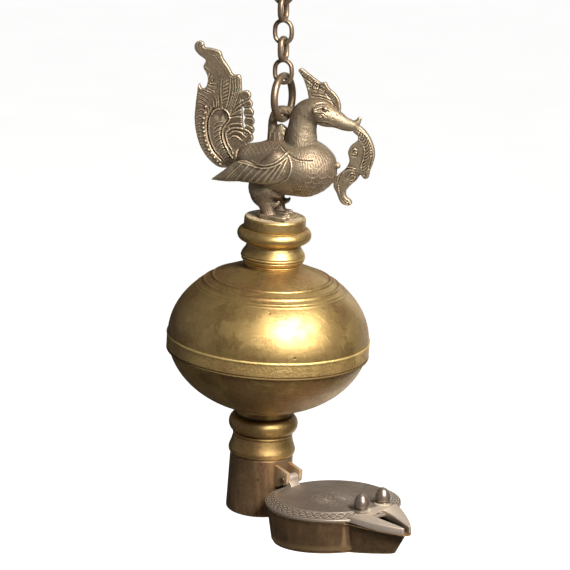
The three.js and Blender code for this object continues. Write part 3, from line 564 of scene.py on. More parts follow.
def bronze(name, colour, rough=0.42, mottle=0.5, wear_and_painted_light=0.5, grime=0.7, grain=0.25, lathe=0.0, pits=0.0,
           scratches=0.0, verdigris=0.0, streaks=0.0, blush=0.35, metal=0.8):
    """Old bronze: mottled patina, worn edges, grimy hollows, casting grain and turning marks."""
    n = Nodes(bpy.data.materials.new(name))
    where, shape, dust_and_highlight = n.place(), n.marked("wear_and_painted_light"), n.marked("dust_and_highlight")
    patch, cloud = n.noise(where, PATCHES, 5.0, 0.7), n.noise(where, CLOUDS, 6.0, 0.62)
    fine, speck = n.noise(where, GRAIN, 5.0, 0.6), n.noise(where, SPECKS, 3.0, 0.6)
    worn = n.ramp(n.plus(shape, n.times(fine, 0.12)), 0.62, 0.95, 0.0, wear_and_painted_light)
    grimy = n.ramp(n.plus(shape, n.times(fine, 0.1)), 0.5, 0.2, 0.0, grime)
    # Dark clouds, reddish and pale patches, light grain and dark specks: how much of each, and its shade
    layers = [
        (n.ramp(cloud, 0.44, 0.58, 0.0, mottle), tint(colour, 0.5, 1.04)),
        (n.ramp(patch, 0.52, 0.58, 0.0, blush), [c * k for c, k in zip(colour, REDDISH)]),
        (n.ramp(patch, 0.47, 0.4, 0.0, mottle), tint(colour, 1.3, 0.97)),
        (n.ramp(fine, 0.3, 0.75, 0.0, 0.45), tint(colour, 1.35, 0.98)),
        (n.ramp(speck, 0.56, 0.78, 0.0, 0.5 * mottle), tint(colour, 0.4))]
    if streaks:
        run = n.add("Mapping", None, Vector=where, Scale=(1.0, 1.0, 0.07)).outputs[0]
        drip = n.noise(run, DRIPS, 4.0, 0.65)
        layers += [(n.ramp(drip, 0.52, 0.68, 0.0, streaks), tint(colour, 1.9, 1.05)),
                   (n.ramp(drip, 0.46, 0.34, 0.0, streaks), tint(colour, 0.45))]
    # Worn edges lighter, grimy hollows darker, then a pale dusty layer; at the band and the pan's crease
    # these marks also hold a painted highlight, a painted reflection and painted shade, and on the cup's ears
    # the pale layer is also a painted highlight
    layers += [(worn, tint(colour, 2.5, 0.97)), (grimy, tint(colour, 0.22, 1.05)),
               (n.times(dust_and_highlight, n.ramp(fine, 0.35, 0.6, 0.45, 1.0)), DUST_AND_HIGHLIGHT)]
    height = n.plus(n.times(fine, grain), n.times(speck, 0.35 * grain))
    if lathe:
        rings = turning_marks(n, where)
        height = n.plus(height, n.times(rings, lathe))
        layers.append((n.ramp(rings, 0.5, 0.75, 0.0, 0.4), tint(colour, 0.6)))
    if pits:
        cells = n.add("TexVoronoi", {"feature": "F1"}, Vector=where, Scale=PIT_CELLS, Randomness=1.0)
        hole = n.ramp(cells.outputs[0], 0.16, 0.05)
        spot = n.times(hole, n.ramp(n.noise(where, PITTED_AREAS), 0.56, 0.62))
        height = n.minus(height, n.times(spot, pits))
        layers.append((n.times(spot, 0.8), tint(colour, 0.25)))
    if scratches:
        lines = scratch_lines(n, where)
        height = n.minus(height, n.times(lines, 0.2))
        layers.append((n.times(lines, scratches), tint(colour, 1.7)))
    if verdigris:
        green = n.times(n.ramp(n.noise(where, GREEN_SPOTS, 3.0), 0.6, 0.7), grimy)
        layers.append((n.times(green, verdigris), VERDIGRIS))
    base = colour
    for amount, shade in layers:
        base = n.mix(amount, base, shade)
    rough_value = n.plus(n.ramp(cloud, 0.3, 0.75, rough, rough + 0.12), n.times(n.larger(grimy, dust_and_highlight), 0.25))
    bump = n.add("Bump", None, Height=height, Strength=0.5, Distance=0.0006).outputs[0]
    shine = n.ramp(dust_and_highlight, 0.0, 1.0, metal, 0.15)
    shader = n.add("BsdfPrincipled", None, Base_Color=base, Roughness=rough_value, Normal=bump,
                   Metallic=shine)
    n.add("OutputMaterial", None, Surface=shader.outputs[0])
    return n.owner


def turning_marks(n, where):
    """Fine rings left by the lathe, by the length along the profile."""
    drift = n.times(n.noise(where, 18.0, 2.0), 0.35)
    place = n.add("CombineXYZ", None, X=n.times(n.marked("along"), 620.0), Y=drift, Z=0.0).outputs[0]
    return n.noise(place, 1.0, 3.0, 0.7)


def scratch_lines(n, where):
    """Thin scratches that run two ways."""
    ways = []
    for turn, scale in ((0.5, 30.0), (2.1, 24.0)):
        spun = n.add("Mapping", None, Vector=where, Rotation=(0.0, 0.0, turn), Scale=(1.0, 26.0, 1.0))
        ways.append(n.ramp(n.noise(spun.outputs[0], scale, 3.0, 0.6), 0.63, 0.69))
    return n.larger(*ways)


MATERIALS = {}


def metal(kind):
    """The bronze of a kind, made once."""
    c = colours()
    recipes = {
        "turned": (c.gold, dict(rough=0.37, mottle=0.75, wear_and_painted_light=0.7, grime=0.85, grain=0.2, lathe=0.5, pits=0.5,
                                scratches=0.25, blush=0.6, metal=0.88)),
        "band": (tint(c.gold, 1.15), dict(rough=0.43, mottle=0.8, wear_and_painted_light=0.4, grime=0.9, grain=2.6, lathe=0.1)),
        "cup": (c.brown, dict(mottle=0.6, wear_and_painted_light=0.75, grime=0.8, grain=0.3, lathe=0.15, pits=0.2, streaks=0.4,
                              blush=0.5)),
        "carved": (c.dusty, dict(rough=0.47, mottle=0.8, wear_and_painted_light=0.7, grime=0.85, grain=1.5, verdigris=0.7)),
        "chain": (c.red, dict(rough=0.4, mottle=0.6, wear_and_painted_light=0.6, grime=0.8, grain=0.5)),
        "lid": (c.grey, dict(rough=0.5, wear_and_painted_light=0.7, grime=0.85, grain=0.4, scratches=0.35)),
        "knob": (c.grey, dict(rough=0.3, mottle=0.35, wear_and_painted_light=0.8, grime=0.8, grain=0.15)),
    }
    if kind not in MATERIALS:
        colour, looks = recipes[kind]
        MATERIALS[kind] = bronze("bronze_" + kind, tuple(colour), **looks)
    return MATERIALS[kind]


# Pieces

def piece(name, mesh, place, body, kind, slot, node, sharp=38.0, wear_and_painted_light=0.3, rounds=4):
    """Puts a finished mesh in the row's frame, on its body, in place of its solid."""
    if "wear_and_painted_light" not in mesh.attributes:
        mark(mesh, "wear_and_painted_light", worn_edges(mesh, wear_and_painted_light, rounds))
    mesh.transform(place)
    mesh.shade_smooth()
    mesh.set_sharp_from_angle(angle=math.radians(sharp))
    mesh.materials.clear()
    mesh.materials.append(metal(kind))
    obj = linked(name, mesh)
    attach(obj, body)
    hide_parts(node)


def mark_along(mesh, length):
    """Keeps the length along a turned piece's profile, in tenths of a metre, for its turning marks."""
    mark(mesh, "along", (length % 100.0) / 100.0)


def profile_length(mesh):
    """A number that grows along a turned piece's profile: its radius and height."""
    x, y, z = points_of(mesh).T
    return np.hypot(x, y) + z


def turned_piece(name, node, profile, kind="turned", loop=True, step=1.1, shape=None, **wear_and_painted_light):
    """A piece of the reservoir and its necks, made on the lathe; a shape may work it further."""
    mesh = spin(name, dense(profile, step), loop=loop)
    if shape:
        shape(mesh)
    mark_along(mesh, profile_length(mesh))
    piece(name, mesh, lamp_frame(), "lamp", kind, "reservoir", node, **wear_and_painted_light)


def carved_piece(name, node, mesh):
    """A carved casting of the goose."""
    piece(name, mesh, goose_frame(), "lamp", "carved", "goose", node, sharp=75, wear_and_painted_light=0.16, rounds=5)


def feed_piece(name, node, mesh, **wear_and_painted_light):
    """A piece of the cup and its hinge."""
    piece(name, mesh, feed_frame(), "feed", "cup", "pan", node, **wear_and_painted_light)


def upright(mesh, x, y, z):
    """A turned mesh laid across the goose's or pan's plane."""
    return moved(mesh, x, y, z, turn=Matrix.Rotation(math.pi / 2, 4, "X"))


# The reservoir's oval

def arc(radius, half, low, high, steps):
    """Part of the reservoir's oval, between two heights from its middle."""
    turns = np.linspace(math.asin(low / half), math.asin(high / half), steps)
    return [(radius * math.cos(t), RESERVOIR_CENTRE + half * math.sin(t)) for t in turns]


def oval_height(r, radius=None, half=None):
    """Height of the reservoir's oval above its middle, at a radius."""
    return (half or size("reservoir_half")) * math.sqrt(1 - (r / (radius or size("reservoir_radius"))) ** 2)


def bead(inner, outer, rise, steps=7):
    """A half-round ridge on the reservoir's shoulder, from its outer to its inner radius."""
    out = []
    for t in np.linspace(0, 1, steps):
        r = outer + (inner - outer) * t
        lift = rise * math.sin(math.pi * t) ** 0.6 if 0 < t < 1 else 0.0
        out.append((r + 0.5 * lift, RESERVOIR_CENTRE + oval_height(r) + 0.85 * lift))
    return out


# Chain

def link_path(width, height, wire):
    """The middle line of an oval eye in the XZ plane."""
    rx, straight = (width - wire) / 2, (height - width) / 2
    out = []
    for t in full_turn(48):
        x, z = rx * math.cos(t), rx * math.sin(t)
        out.append((x, 0.0, z + math.copysign(straight, z) * min(1.0, abs(z) / (0.35 * rx))))
    return out


def eye_mesh(name, width, height, wire, seed, strip=None):
    """A hand-made eye: its wire is a little uneven, and it is thinner where the next one rubs."""
    rng = np.random.default_rng(seed)
    path = np.array(link_path(width, height, wire))
    turn = full_turn(len(path))
    uneven = 0.03 * np.sin(turn * 2 + rng.uniform(0, 6)) + 0.02 * np.sin(turn * 5 + rng.uniform(0, 6))
    rub = 0.07 * np.exp(-((np.abs(np.sin(turn)) - 1) / 0.06) ** 2)
    mesh = tube(name, path, wire / 2 * (0.98 + uneven * 0.4 - rub), steps=144, closed=True)
    mesh.transform(Matrix.Diagonal((1.0, (strip or wire) / wire, 1.0, 1.0)))
    return mesh


def chain_piece(name, node, mesh, place, body, wear_and_painted_light=0.3):
    """A piece of the chain."""
    piece(name, mesh, place, body, "chain", "chain", node, wear_and_painted_light=wear_and_painted_light)


def make_chain():
    """Top hook, links of two eyes at right angles, and the suspension ring."""
    width, height, wire, strip = size("link_width"), size("link_eye"), size("link_wire"), size("link_strip")
    reach = (height - wire) / 2
    for i in range(LINKS):
        upper = moved(eye_mesh("upper", width, height, wire, 2 * i + 3, strip), z=reach,
                      turn=Matrix.Rotation(math.pi / 2, 4, "Z"))
        lower = moved(eye_mesh("lower", width, height, wire, 2 * i + 4, strip), z=-reach)
        body, node = f"link_{i + 1}", f"chain_link_{i + 1}"
        mesh = fused(body, [upper, lower], 0.3, 4)
        chain_piece(node + "_forging", node, mesh, chain_frame(node, LINK_TURN), body, wear_and_painted_light=0.25)
    ring = eye_mesh("ring", size("ring_width"), size("ring_width"), size("ring_wire"), 9)
    place = chain_frame("suspension_ring", RING_TURN)
    chain_piece("suspension_ring_wire", "suspension_ring", ring, place, "ring")
    make_hook()


def chain_frame(node, turn):
    """A frame in millimetres at the middle of a link or ring."""
    low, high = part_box(node)
    place = Matrix.Translation((Vector(low) + Vector(high)) / 2)
    return place @ Matrix.Rotation(math.radians(turn), 4, "Z") @ Matrix.Scale(MM, 4)


def make_hook():
    """The hook that carries the chain, with a closed eye."""
    wire, crown, shank, eye = 4.6, 11.0, 22.0, 14.0
    r = crown + wire / 2
    turns = np.radians(np.arange(-30, 181, 15))
    path = [(r * math.cos(t), 0.0, -crown + r * math.sin(t)) for t in turns]
    path += [(-r * 0.8, 0.0, -crown - 9), (-1.0, 0.0, -shank + 1), (0.0, 0.0, -shank - eye / 2)]
    radii = [wire / 2 * 0.55, wire / 2 * 0.85] + [wire / 2] * (len(path) - 2)
    ring = [(eye / 2 * math.cos(t), 0.0, -shank - eye + eye / 2 * math.sin(t)) for t in full_turn(40)]
    hook = merged("hook", [tube("shank", path, radii, steps=110),
                           tube("eye", ring, size("link_wire") / 2 * 0.98, closed=True)])
    place = Matrix.Rotation(math.radians(LINK_TURN), 4, "Z") @ Matrix.Scale(MM, 4)
    chain_piece("top_hook_wire", "top_hook", hook, place, "hook")


# Goose: strokes are drawn in its own plane, x toward the beak and z up from the plinth

BODY_KEYS = [
    (-36, 0, 48.5, 8, 8), (-29, 0, 48, 14, 14), (-16.6, 0, 45.5, 20, 21), (-0.8, 0, 45, 24, 25.5),
    (15, 0, 45.5, 25, 27), (30.9, 0, 46, 24.5, 25.5), (43.2, 0, 45.5, 18, 19), (49.4, 0, 45, 11, 11.5),
    (52, 0, 45, 3.5, 4)]
NECK_KEYS = [
    (18, 0, 52, 17, 17), (19, 0, 68, 14.5, 14.5), (19.5, 0, 82, 12.5, 12), (22, 0, 92.5, 12.2, 11.5),
    (31, 0, 97, 11.5, 11.5), (41, 0, 94, 10.3, 11), (50, 0, 91.2, 7.6, 7.5), (57, 0, 88.3, 6, 5.2),
    (64, 0, 87.9, 5, 4.2), (68, 0, 91, 2.8, 2.8), (70, 0, 95.5, 1.5, 1.7)]
WING_KEYS = [
    (14, 19, 56, 7, 3), (8, 23, 51.5, 13, 5), (-2, 24, 44.5, 11.5, 5.6), (-14, 23, 41, 8.5, 5),
    (-27, 21.5, 41.5, 9.6, 3.6), (-41, 20.5, 35.8, 5.4, 2.6), (-54, 19.5, 31, 0.6, 0.8)]
THIGH_KEYS = [
    (-4, 0, 34, 14, 8), (-8.4, 0, 24, 15.6, 8.8), (-9, 0, 18, 11.6, 7.8), (-6.5, 0, 11, 6.8, 5.6),
    (-4.6, 0, 4, 6.4, 5.4), (-3.6, 0, 0.3, 8, 6.6)]
SPUR_KEYS = [(0, 0, 12, 3, 2.6), (3.5, 0, 13.5, 2, 2), (5, 0, 16, 0.6, 0.6)]
FOOT_OUTLINE = [
    (-13, 0), (-10, 5), (-2, 6), (6, 8.6), (13, 8), (14, 6), (9, 3.4), (15.5, 1.2), (15.5, -1.2), (9, -3.4),
    (14, -6), (13, -8), (6, -8.6), (-2, -6), (-10, -5)]
EYE_BAR = [
    (-7, 0, 55), (-7, 0, 72), (-6.9, 0, 85.5), (-4, 0, 92.5), (0, 0, 94.5), (5, 0, 94.5),
    (10, 0, 94.3), (20, 0, 92.5)]
SADDLE_KEYS = [
    (-1, 0, 50, 9, 7), (-1.5, 0, 62, 8.5, 6), (-1, 0, 71, 8.2, 5.5), (1, 0, 76.5, 6.5, 5),
    (3.5, 0, 80.3, 4, 4)]
BOSS_EAR, BOSS_BROW, BOSS_BREAST = np.array([(32.4, 11.4, 99.2), (41, 9.6, 101.5), (52.6, 0.0, 51.2)])
LEG_STRIDE = 5.0
LEG_APART = 9.5
FOOT_THICKNESS = 3.2

WING_TOP = [
    (-29.9, 51.7), (-23.4, 51.6), (-15.4, 50.1), (-6.3, 50.1), (1.4, 52.3), (7.7, 56.6), (12.5, 62.2)]
WING_TOP_LOW = [
    (-29.8, 49.2), (-23.2, 48.9), (-15.3, 47.5), (-6.2, 47.7), (2.2, 49.9), (9.1, 54.1), (14, 59.5)]
WING_RIM = [(14, 59.8), (17.6, 53.8), (18, 47.5), (15.2, 40.1), (9, 36)]
FEATHERS = [
    [(-27, 48), (-34, 40.5), (-40, 34)], [(-20.5, 47.6), (-26.6, 39.8), (-32.5, 32.4)],
    [(-14, 47.1), (-20.1, 39.9), (-26, 33.0)], [(-7.4, 46.9), (-13.5, 40), (-19.5, 33.6)],
    [(-0.9, 47.6), (-7, 40.8), (-13, 34.4)], [(4.8, 49.8), (-0.6, 42.1), (-6.5, 34.8)],
    [(9.8, 53), (5.1, 44.7), (0, 36.5)], [(13.5, 57.2), (11.3, 49.3), (6.5, 40)]]
WING_EDGE = [(-53.5, 31), (-41.9, 30.6), (-28.9, 31.8), (-15.8, 33.3), (-2.8, 34.9), (7.4, 37.5), (14, 42)]
COLLAR = [(3.9, 66.8), (10.9, 63.1), (17.1, 59.7), (23.2, 57.8), (35.2, 57.5)]
BEAK_LINES = [
    [(34.5, 90.1), (42.6, 90.1), (51.1, 86.3), (60.3, 81.8), (66, 84.1)],
    [(34.7, 87.8), (42.8, 86.9), (51.3, 83), (59.7, 79.9)]]
BROWS = [
    [(31.8, 104.7), (39.7, 106.2), (47, 103.4), (50.4, 97.4)],
    [(32.7, 100.7), (39.4, 102.3), (44.6, 99.7), (47.3, 94.4)],
    [(34.1, 97.4), (38.8, 98.5), (42.2, 95.9)]]
EYE = [(34.3, 94.5), (37.2, 95.7), (39.6, 94.2), (37.4, 92.5)]


def scale_rows(u, v, width=0.1):
    """Overlapping scales in rows: the depth of their edges, from 0 to 1."""
    row = np.floor(u)
    a = np.mod(v + 0.5 * np.mod(row, 2), 1.0) - 0.5
    b = u - row
    edge = np.abs(np.hypot(a, 0.75 * (1 - b)) - 0.52)
    return np.exp(-(edge / width) ** 2)


def hatching(u, v, width=0.13):
    """Crossing lines that leave lozenges between them."""
    first = np.abs(np.mod(u + v, 1.0) - 0.5)
    second = np.abs(np.mod(u - v, 1.0) - 0.5)
    return np.maximum(np.exp(-(first / width) ** 2), np.exp(-(second / width) ** 2))


def dashes(u, v, width=0.16):
    """Short strokes side by side, each row set off from the last."""
    column = np.floor(u)
    offset = np.mod(np.sin(column * 12.9898) * 43.7585, 1.0)
    across = np.exp(-((u - column - 0.5) / width) ** 2)
    along = np.mod(v + offset, 1.0)
    return across * np.clip(np.minimum(along, 0.86 - along) * 7, 0, 1)


def inside(value, low, high, soft=1.0):
    """1 between two limits, falling softly to 0 outside them."""
    return np.clip((value - low) / soft, 0, 1) * np.clip((high - value) / soft, 0, 1)


def goose_relief(places, facing):
    """How far each point of the goose is raised or sunk by its carving, in millimetres."""
    x, y, z = places.T
    flat = places[:, [0, 2]]
    side = np.clip((np.abs(facing[:, 1]) - 0.15) / 0.4, 0, 1)
    wing = inside(np.abs(y), 17, 40, 1.5) * side
    depth = wing * stroke_depth(flat, wing_strokes())

    # Head, and the collar line over neck and breast
    head = inside(z, 84, 120, 2) * inside(x, 24, 80, 2) * side
    lines = [(EYE, 0.5, -0.6)] + ridges(BROWS + BEAK_LINES, 0.5, 0.5, 0.6)
    depth += head * stroke_depth(flat, lines)
    collar = [(COLLAR, 0.55, -0.75), (shifted(COLLAR, 0.2, -1.2), 0.6, 0.3)]
    depth += inside(x, 2, 42, 4) * stroke_depth(flat, collar)

    # Short feathers down the neck
    turn = np.arctan2(y, x - 19.5)
    neck = inside(z, 66, 97, 3) * inside(x, 0, 37, 2) * inside(np.hypot(x - 19.5, y), 6, 19, 1)
    depth -= 0.3 * neck * dashes(turn * 10, z / 5.5)

    # Scallops and fine feathers on the breast
    breast_turn = np.arctan2(y, x - 10)
    breast_rise = np.arctan2(z - 46, np.hypot(x - 10, y))
    breast = inside(x, 17, 60, 4) * (1 - np.clip((np.abs(y) - 24) / 2, 0, 1))
    scallops = scale_rows(breast_rise * 7.0 + 20, breast_turn * 4.2, 0.08)
    depth += 0.28 * breast * inside(z, 20, 46, 3) * scallops
    depth -= 0.26 * breast * inside(z, 20, 66, 3) * dashes(breast_turn * 15, breast_rise * 8)

    # Lozenges on the back, and short feathers on the thighs and the eye's bar
    back = inside(x, -34, 9, 2) * inside(z, 52.5, 76, 1.5) * (1 - wing)
    depth += 0.3 * back * hatching(x / 4.0, np.arctan2(y, z - 42) * 26 / 4.0 / 1.9, 0.11)
    thigh = inside(z, 3, 34, 2) * inside(np.abs(y), 2, 30, 2) * inside(x, -26, 14, 2)
    depth -= 0.22 * thigh * dashes(x / 2.2 + z / 6, z / 4.5)
    bar = inside(x, -16, 8, 1) * inside(z, 70, 99, 2) * inside(np.abs(y), -1, 6, 0.5)
    depth -= 0.2 * bar * dashes(y / 1.6, (x + z) / 5)
    return depth


def wing_strokes():
    """Feathers, the double line along the wing's top, and its rim."""
    strokes = [(WING_TOP, 0.75, 0.75), (WING_TOP_LOW, 0.75, 0.75), (WING_RIM, 0.7, 0.6),
               (WING_EDGE, 0.8, 0.3)]
    strokes += [(between(WING_TOP, WING_TOP_LOW, 1)[0], 0.5, -0.6)]
    strokes += [(feather, 0.62, 0.55) for feather in FEATHERS]
    for first, second in zip(FEATHERS, FEATHERS[1:]):
        strokes += [(line, 0.5, deep) for line, deep in zip(between(first, second, 3), (-0.06, -0.3, -0.06))]
    return strokes


def ball(x, y, z, r):
    """A small boss."""
    turns = np.linspace(-math.pi / 2, math.pi / 2, 13)
    mesh = spin("ball", [(r * math.cos(t), r * math.sin(t)) for t in turns], flats=24)
    return moved(mesh, x, y, z)


def make_goose():
    """Body, wings, neck, head, legs and the eye on the back, carved as one casting."""
    shapes = [loft("body", BODY_KEYS, 48, 64), loft("neck", NECK_KEYS, 60, 48),
              tube("eye_bar", EYE_BAR, 4.0, 50), loft("saddle", SADDLE_KEYS, 20, 28)]
    for side in (-1, 1):
        wing = [(x, side * y, z, a, b) for x, y, z, a, b in WING_KEYS]
        shapes.append(loft("wing", wing, 44, 28))
        stride = LEG_STRIDE if side > 0 else 0.0
        for keys in (THIGH_KEYS, SPUR_KEYS):
            shapes.append(moved(loft("leg", keys, 24, 28), x=stride, y=side * LEG_APART))
        foot = plate("foot", FOOT_OUTLINE, FOOT_THICKNESS, 0.6, smooth=60)
        shapes.append(moved(foot, x=-stride / 2, y=side * LEG_APART, z=GAP + FOOT_THICKNESS / 2,
                            turn=Matrix.Rotation(-math.pi / 2, 4, "X")))
        shapes += [ball(*(BOSS_EAR * (1, side, 1)), 2.4), ball(*(BOSS_BROW * (1, side, 1)), 2.3)]
    shapes.append(ball(*BOSS_BREAST, 3.0))
    mesh = fused("goose", shapes, size("carving"), 5)
    places, facing = points_of(mesh), normals_of(mesh)
    places += facing * goose_relief(places, facing)[:, None]
    places[:, 2] = np.maximum(places[:, 2], GAP)
    set_points(mesh, places)
    carved_piece("goose_casting", "goose_body", mesh)


# Tail fan: its edge, its round lobes, its root in the rump, and the lines carved on it

TAIL_OUTLINE = [
    (-40, 41), (-52, 38), (-62, 43.5), (-70, 53), (-75, 65), (-77.5, 78), (-77.3, 90), (-76.5, 101),
    (-75.2, 110.5), (-72.5, 106), (-68.6, 108), (-67.6, 117), (-72, 125.5), (-70, 131), (-76, 135),
    (-80.5, 140), (-80.3, 145), (-76.5, 147.5), (-72.8, 146), (-72, 142.6), (-65, 142), (-57, 139.6),
    (-55.5, 135.5), (-49, 127), (-44.6, 121), (-39, 121.4), (-37, 112), (-36, 100), (-34, 80), (-32, 68),
    (-29, 59)]
TAIL_LOBES = [(-32.5, 104), (-30.7, 96.5), (-29.2, 89), (-28.2, 81.5), (-27.9, 74), (-28.4, 66.8)]
TAIL_ROOT = [(-36, 0, 48.5, 7.8, 7.8), (-41, 0, 48, 8, 6), (-49, 0, 46, 7, 3.4), (-56, 0, 45, 4, 2.5)]
STEM = [
    (-40.2, 48.8), (-45, 53.3), (-48.8, 59.3), (-50.8, 65.4), (-51.4, 70.5), (-49.8, 74.8), (-47.6, 77.9),
    (-45.7, 81.2), (-45.9, 84.6), (-48.2, 87.9), (-51.5, 89.9), (-55.4, 90.2), (-59.2, 88.5), (-62, 84.2)]
STEM_INNER = [(-40.4, 53.2), (-44.2, 57.3), (-46.8, 62.1), (-48.1, 67), (-47.9, 70.8), (-45.8, 73.6)]
LEAF_SPINE = [
    (-50.4, 45.1), (-57.6, 51), (-62.5, 59.1), (-65.1, 69), (-65.3, 78.5), (-63, 85.7), (-60.6, 89.8)]
SCROLL_HOLLOW = [(-55.5, 83), (-52, 86), (-49.5, 82)]
COMBS = [
    [(-52.6, 78.6), (-56.1, 78), (-59.8, 75)],
    [(-52.4, 75.1), (-55.9, 74.4), (-59.9, 71.2)],
    [(-52.7, 71.5), (-56.1, 70.6), (-59.7, 67.7)],
    [(-52.8, 67.9), (-55.6, 66.8), (-59.1, 63.9)],
    [(-52.1, 64), (-54.9, 62.8), (-57.8, 60)],
    [(-50.8, 60.3), (-53.5, 59.2), (-56.1, 56.3)],
    [(-49.1, 56.3), (-51.6, 55.3), (-53.8, 52.7)],
    [(-46.5, 52.8), (-49.1, 51.6), (-51.3, 49.2)],
    [(-43.7, 49.6), (-46.3, 48.5), (-48.3, 46.5)]]
LEFT_LINES = [
    [(-74.9, 101.6), (-68.2, 98.7), (-63.8, 93.3), (-62.2, 87.7)],
    [(-74.9, 97.8), (-69.3, 95.6), (-65.7, 91.1), (-64.4, 85.6)],
    [(-75, 94), (-70.5, 92.5), (-67.4, 88.7), (-66.1, 83.5)],
    [(-75.1, 86.3), (-71.8, 87.7), (-68.9, 86.2)],
    [(-75.8, 79.9), (-72.8, 81.5), (-69.9, 80.3)],
    [(-76, 73.5), (-73, 74.9), (-70, 73.7)],
    [(-75.2, 67.9), (-72.1, 69.1), (-69.2, 68.1)],
    [(-73.9, 62.3), (-70.8, 63.6), (-67.9, 62.4)],
    [(-71.8, 56.8), (-68.7, 58.2), (-65.8, 57)],
    [(-68.9, 51.6), (-65.8, 53.2), (-63.2, 52)],
    [(-65.5, 46.6), (-62.3, 48.7), (-59.7, 47.5)],
    [(-71.2, 105.5), (-64.8, 102.9), (-61.1, 96.7), (-60.2, 89.8)],
    [(-66.7, 106.5), (-61, 104), (-58.3, 98.3), (-57.7, 92)],
    [(-61.5, 107.4), (-57.8, 103.4), (-56.4, 97.2), (-56.1, 91.5)]]
BEADS = [
    (-67.8, 90.3), (-68.7, 82.6), (-69.5, 75.8), (-68.8, 70.5), (-67.8, 65.5), (-66.2, 59.3), (-63.8, 53.8),
    (-60.2, 49.5), (-56, 44.4), (-52.1, 41)]
LADDER = [
    [(-53.2, 112.9), (-49.7, 115.5)],
    [(-53, 109.9), (-49, 112.6)],
    [(-52.8, 106.9), (-48.4, 109.5)],
    [(-52.9, 103.7), (-48.7, 106.2)],
    [(-53, 100.6), (-49, 102.9)],
    [(-53.1, 97.4), (-49.3, 99.6)]]
LADDER_SIDES = [
    [(-54.6, 115.7), (-54.7, 106.2), (-53.5, 96.2), (-52.3, 91.9)],
    [(-47, 119), (-46.5, 109.6), (-48.3, 95.5), (-49.4, 91.6)]]
COLUMN = [
    [(-45.2, 118.5), (-43.6, 109.9), (-44.9, 99.7), (-47.4, 92.5)],
    [(-42.6, 119), (-41.5, 110.1), (-42.9, 101.1), (-45.8, 92)],
    [(-40.1, 120), (-39.2, 112.2), (-40.9, 103.9), (-44.5, 91.5)],
    [(-37.7, 118.7), (-37.5, 111.5), (-39, 105.3), (-42.6, 91.7)]]
LOBES = [
    [(-27.9, 100.2), (-34.2, 97), (-40.4, 91.9), (-43.6, 87.2)],
    [(-26, 93.1), (-32.9, 91.9), (-39.2, 89.4), (-43.9, 85.6)],
    [(-25, 84.4), (-31.2, 84.4), (-38.9, 84.6), (-44.5, 83)],
    [(-23.7, 75.6), (-29.5, 78), (-37.3, 78.7), (-44.7, 77.2), (-48.1, 74)],
    [(-23.9, 69.7), (-29.2, 73.5), (-35.8, 74.8), (-43.3, 74), (-47, 70.8)],
    [(-30, 67.7), (-35.3, 71.1), (-41.8, 71.4), (-45.5, 68.2)],
    [(-33.6, 64.1), (-37.9, 67), (-42.1, 67), (-44.9, 64.4)]]
LOBE_FINE = [
    [(-28.6, 96.3), (-35.6, 93.7), (-41.7, 88.6)],
    [(-26.2, 88.4), (-32.7, 88.1), (-42.8, 84.7)],
    [(-25.1, 79.7), (-31, 81.2), (-38.7, 81.4), (-44.9, 79.9)],
    [(-27.8, 70.9), (-35.4, 72.8), (-42.8, 72.5)],
    [(-32.1, 66.2), (-37.8, 69), (-43.2, 68.9)]]
TIP_EDGE = [
    [(-60.9, 136.7), (-55.5, 131.8), (-50, 126.1), (-45.6, 120.7)],
    [(-63.2, 135.8), (-56.9, 129.1), (-51.6, 122.9), (-48.3, 118)]]
TIP_CURL = [
    [(-71.9, 125.6), (-67.6, 123.3), (-65.9, 119.9), (-67, 115), (-64.2, 111), (-59, 110.6)],
    [(-69.1, 115.1), (-66, 111.8), (-59.6, 112)],
    [(-64.7, 117.5), (-62.6, 115.5), (-63, 113.9)],
    [(-75.5, 143.3), (-73.5, 145.5), (-74.4, 147.4), (-76.7, 147.2), (-78.1, 145)]]


def ridges(lines, width=0.5, height=0.5, sink=0.45):
    """Raised lines with a sunk one beside each."""
    out = []
    for line in lines:
        out += [(line, width, height), (shifted(line, 0.55, -1.0), width, -sink)]
    return out


def tail_strokes():
    """The tail's foliage: a bright stem that ends in a scroll, combed leaves, curved lobes and beads."""
    strokes = [(STEM, 0.8, 1.2), (STEM_INNER, 0.8, 1.0), (shifted(STEM_INNER, -1.3, 0.4), 0.5, -0.9),
               (shifted(STEM, -1.5, 0.2), 0.6, -0.9), (LEAF_SPINE, 0.8, -1.2),
               (shifted(LEAF_SPINE, 1.4, 0.3), 0.6, 0.6), (SCROLL_HOLLOW, 2.6, -1.0)]
    strokes += ridges(COMBS + LEFT_LINES, 0.45, 0.45, 0.5)
    strokes += ridges(LADDER, 0.45, 0.35, 0.4)
    strokes += ridges(LADDER_SIDES + COLUMN + TIP_EDGE, 0.5, 0.4, 0.4)
    strokes += ridges(TIP_CURL, 0.45, 0.45, 0.45)
    for line in LOBES:
        strokes += [(line, 0.55, 0.55), (shifted(line, -0.3, 1.3), 0.6, -0.8)]
    return strokes + [(line, 0.4, -0.4) for line in LOBE_FINE]


def beads_along(keys, count, radius, height):
    """A row of small domes along a line."""
    return [([p, p + 0.01], radius, height) for p in spline(keys, count)]


def make_tail():
    """The tail fan."""
    shapes = [plate("fan", TAIL_OUTLINE, 4.6, 0.9, smooth=150), loft("root", TAIL_ROOT, 14, 28)]
    for x, z in TAIL_LOBES:
        lobe = spin("lobe", rounded([(0, -2.3), (4.5, -2.3), (4.5, 2.3), (0, 2.3)], 0.9), flats=36)
        shapes.append(upright(lobe, x, 0, z))
    mesh = fused("tail", shapes, size("carving"), 3)
    carve_flat(mesh, tail_strokes() + beads_along(BEADS, 14, 1.0, 1.1))
    carved_piece("tail_fan_casting", "tail_fan", mesh)


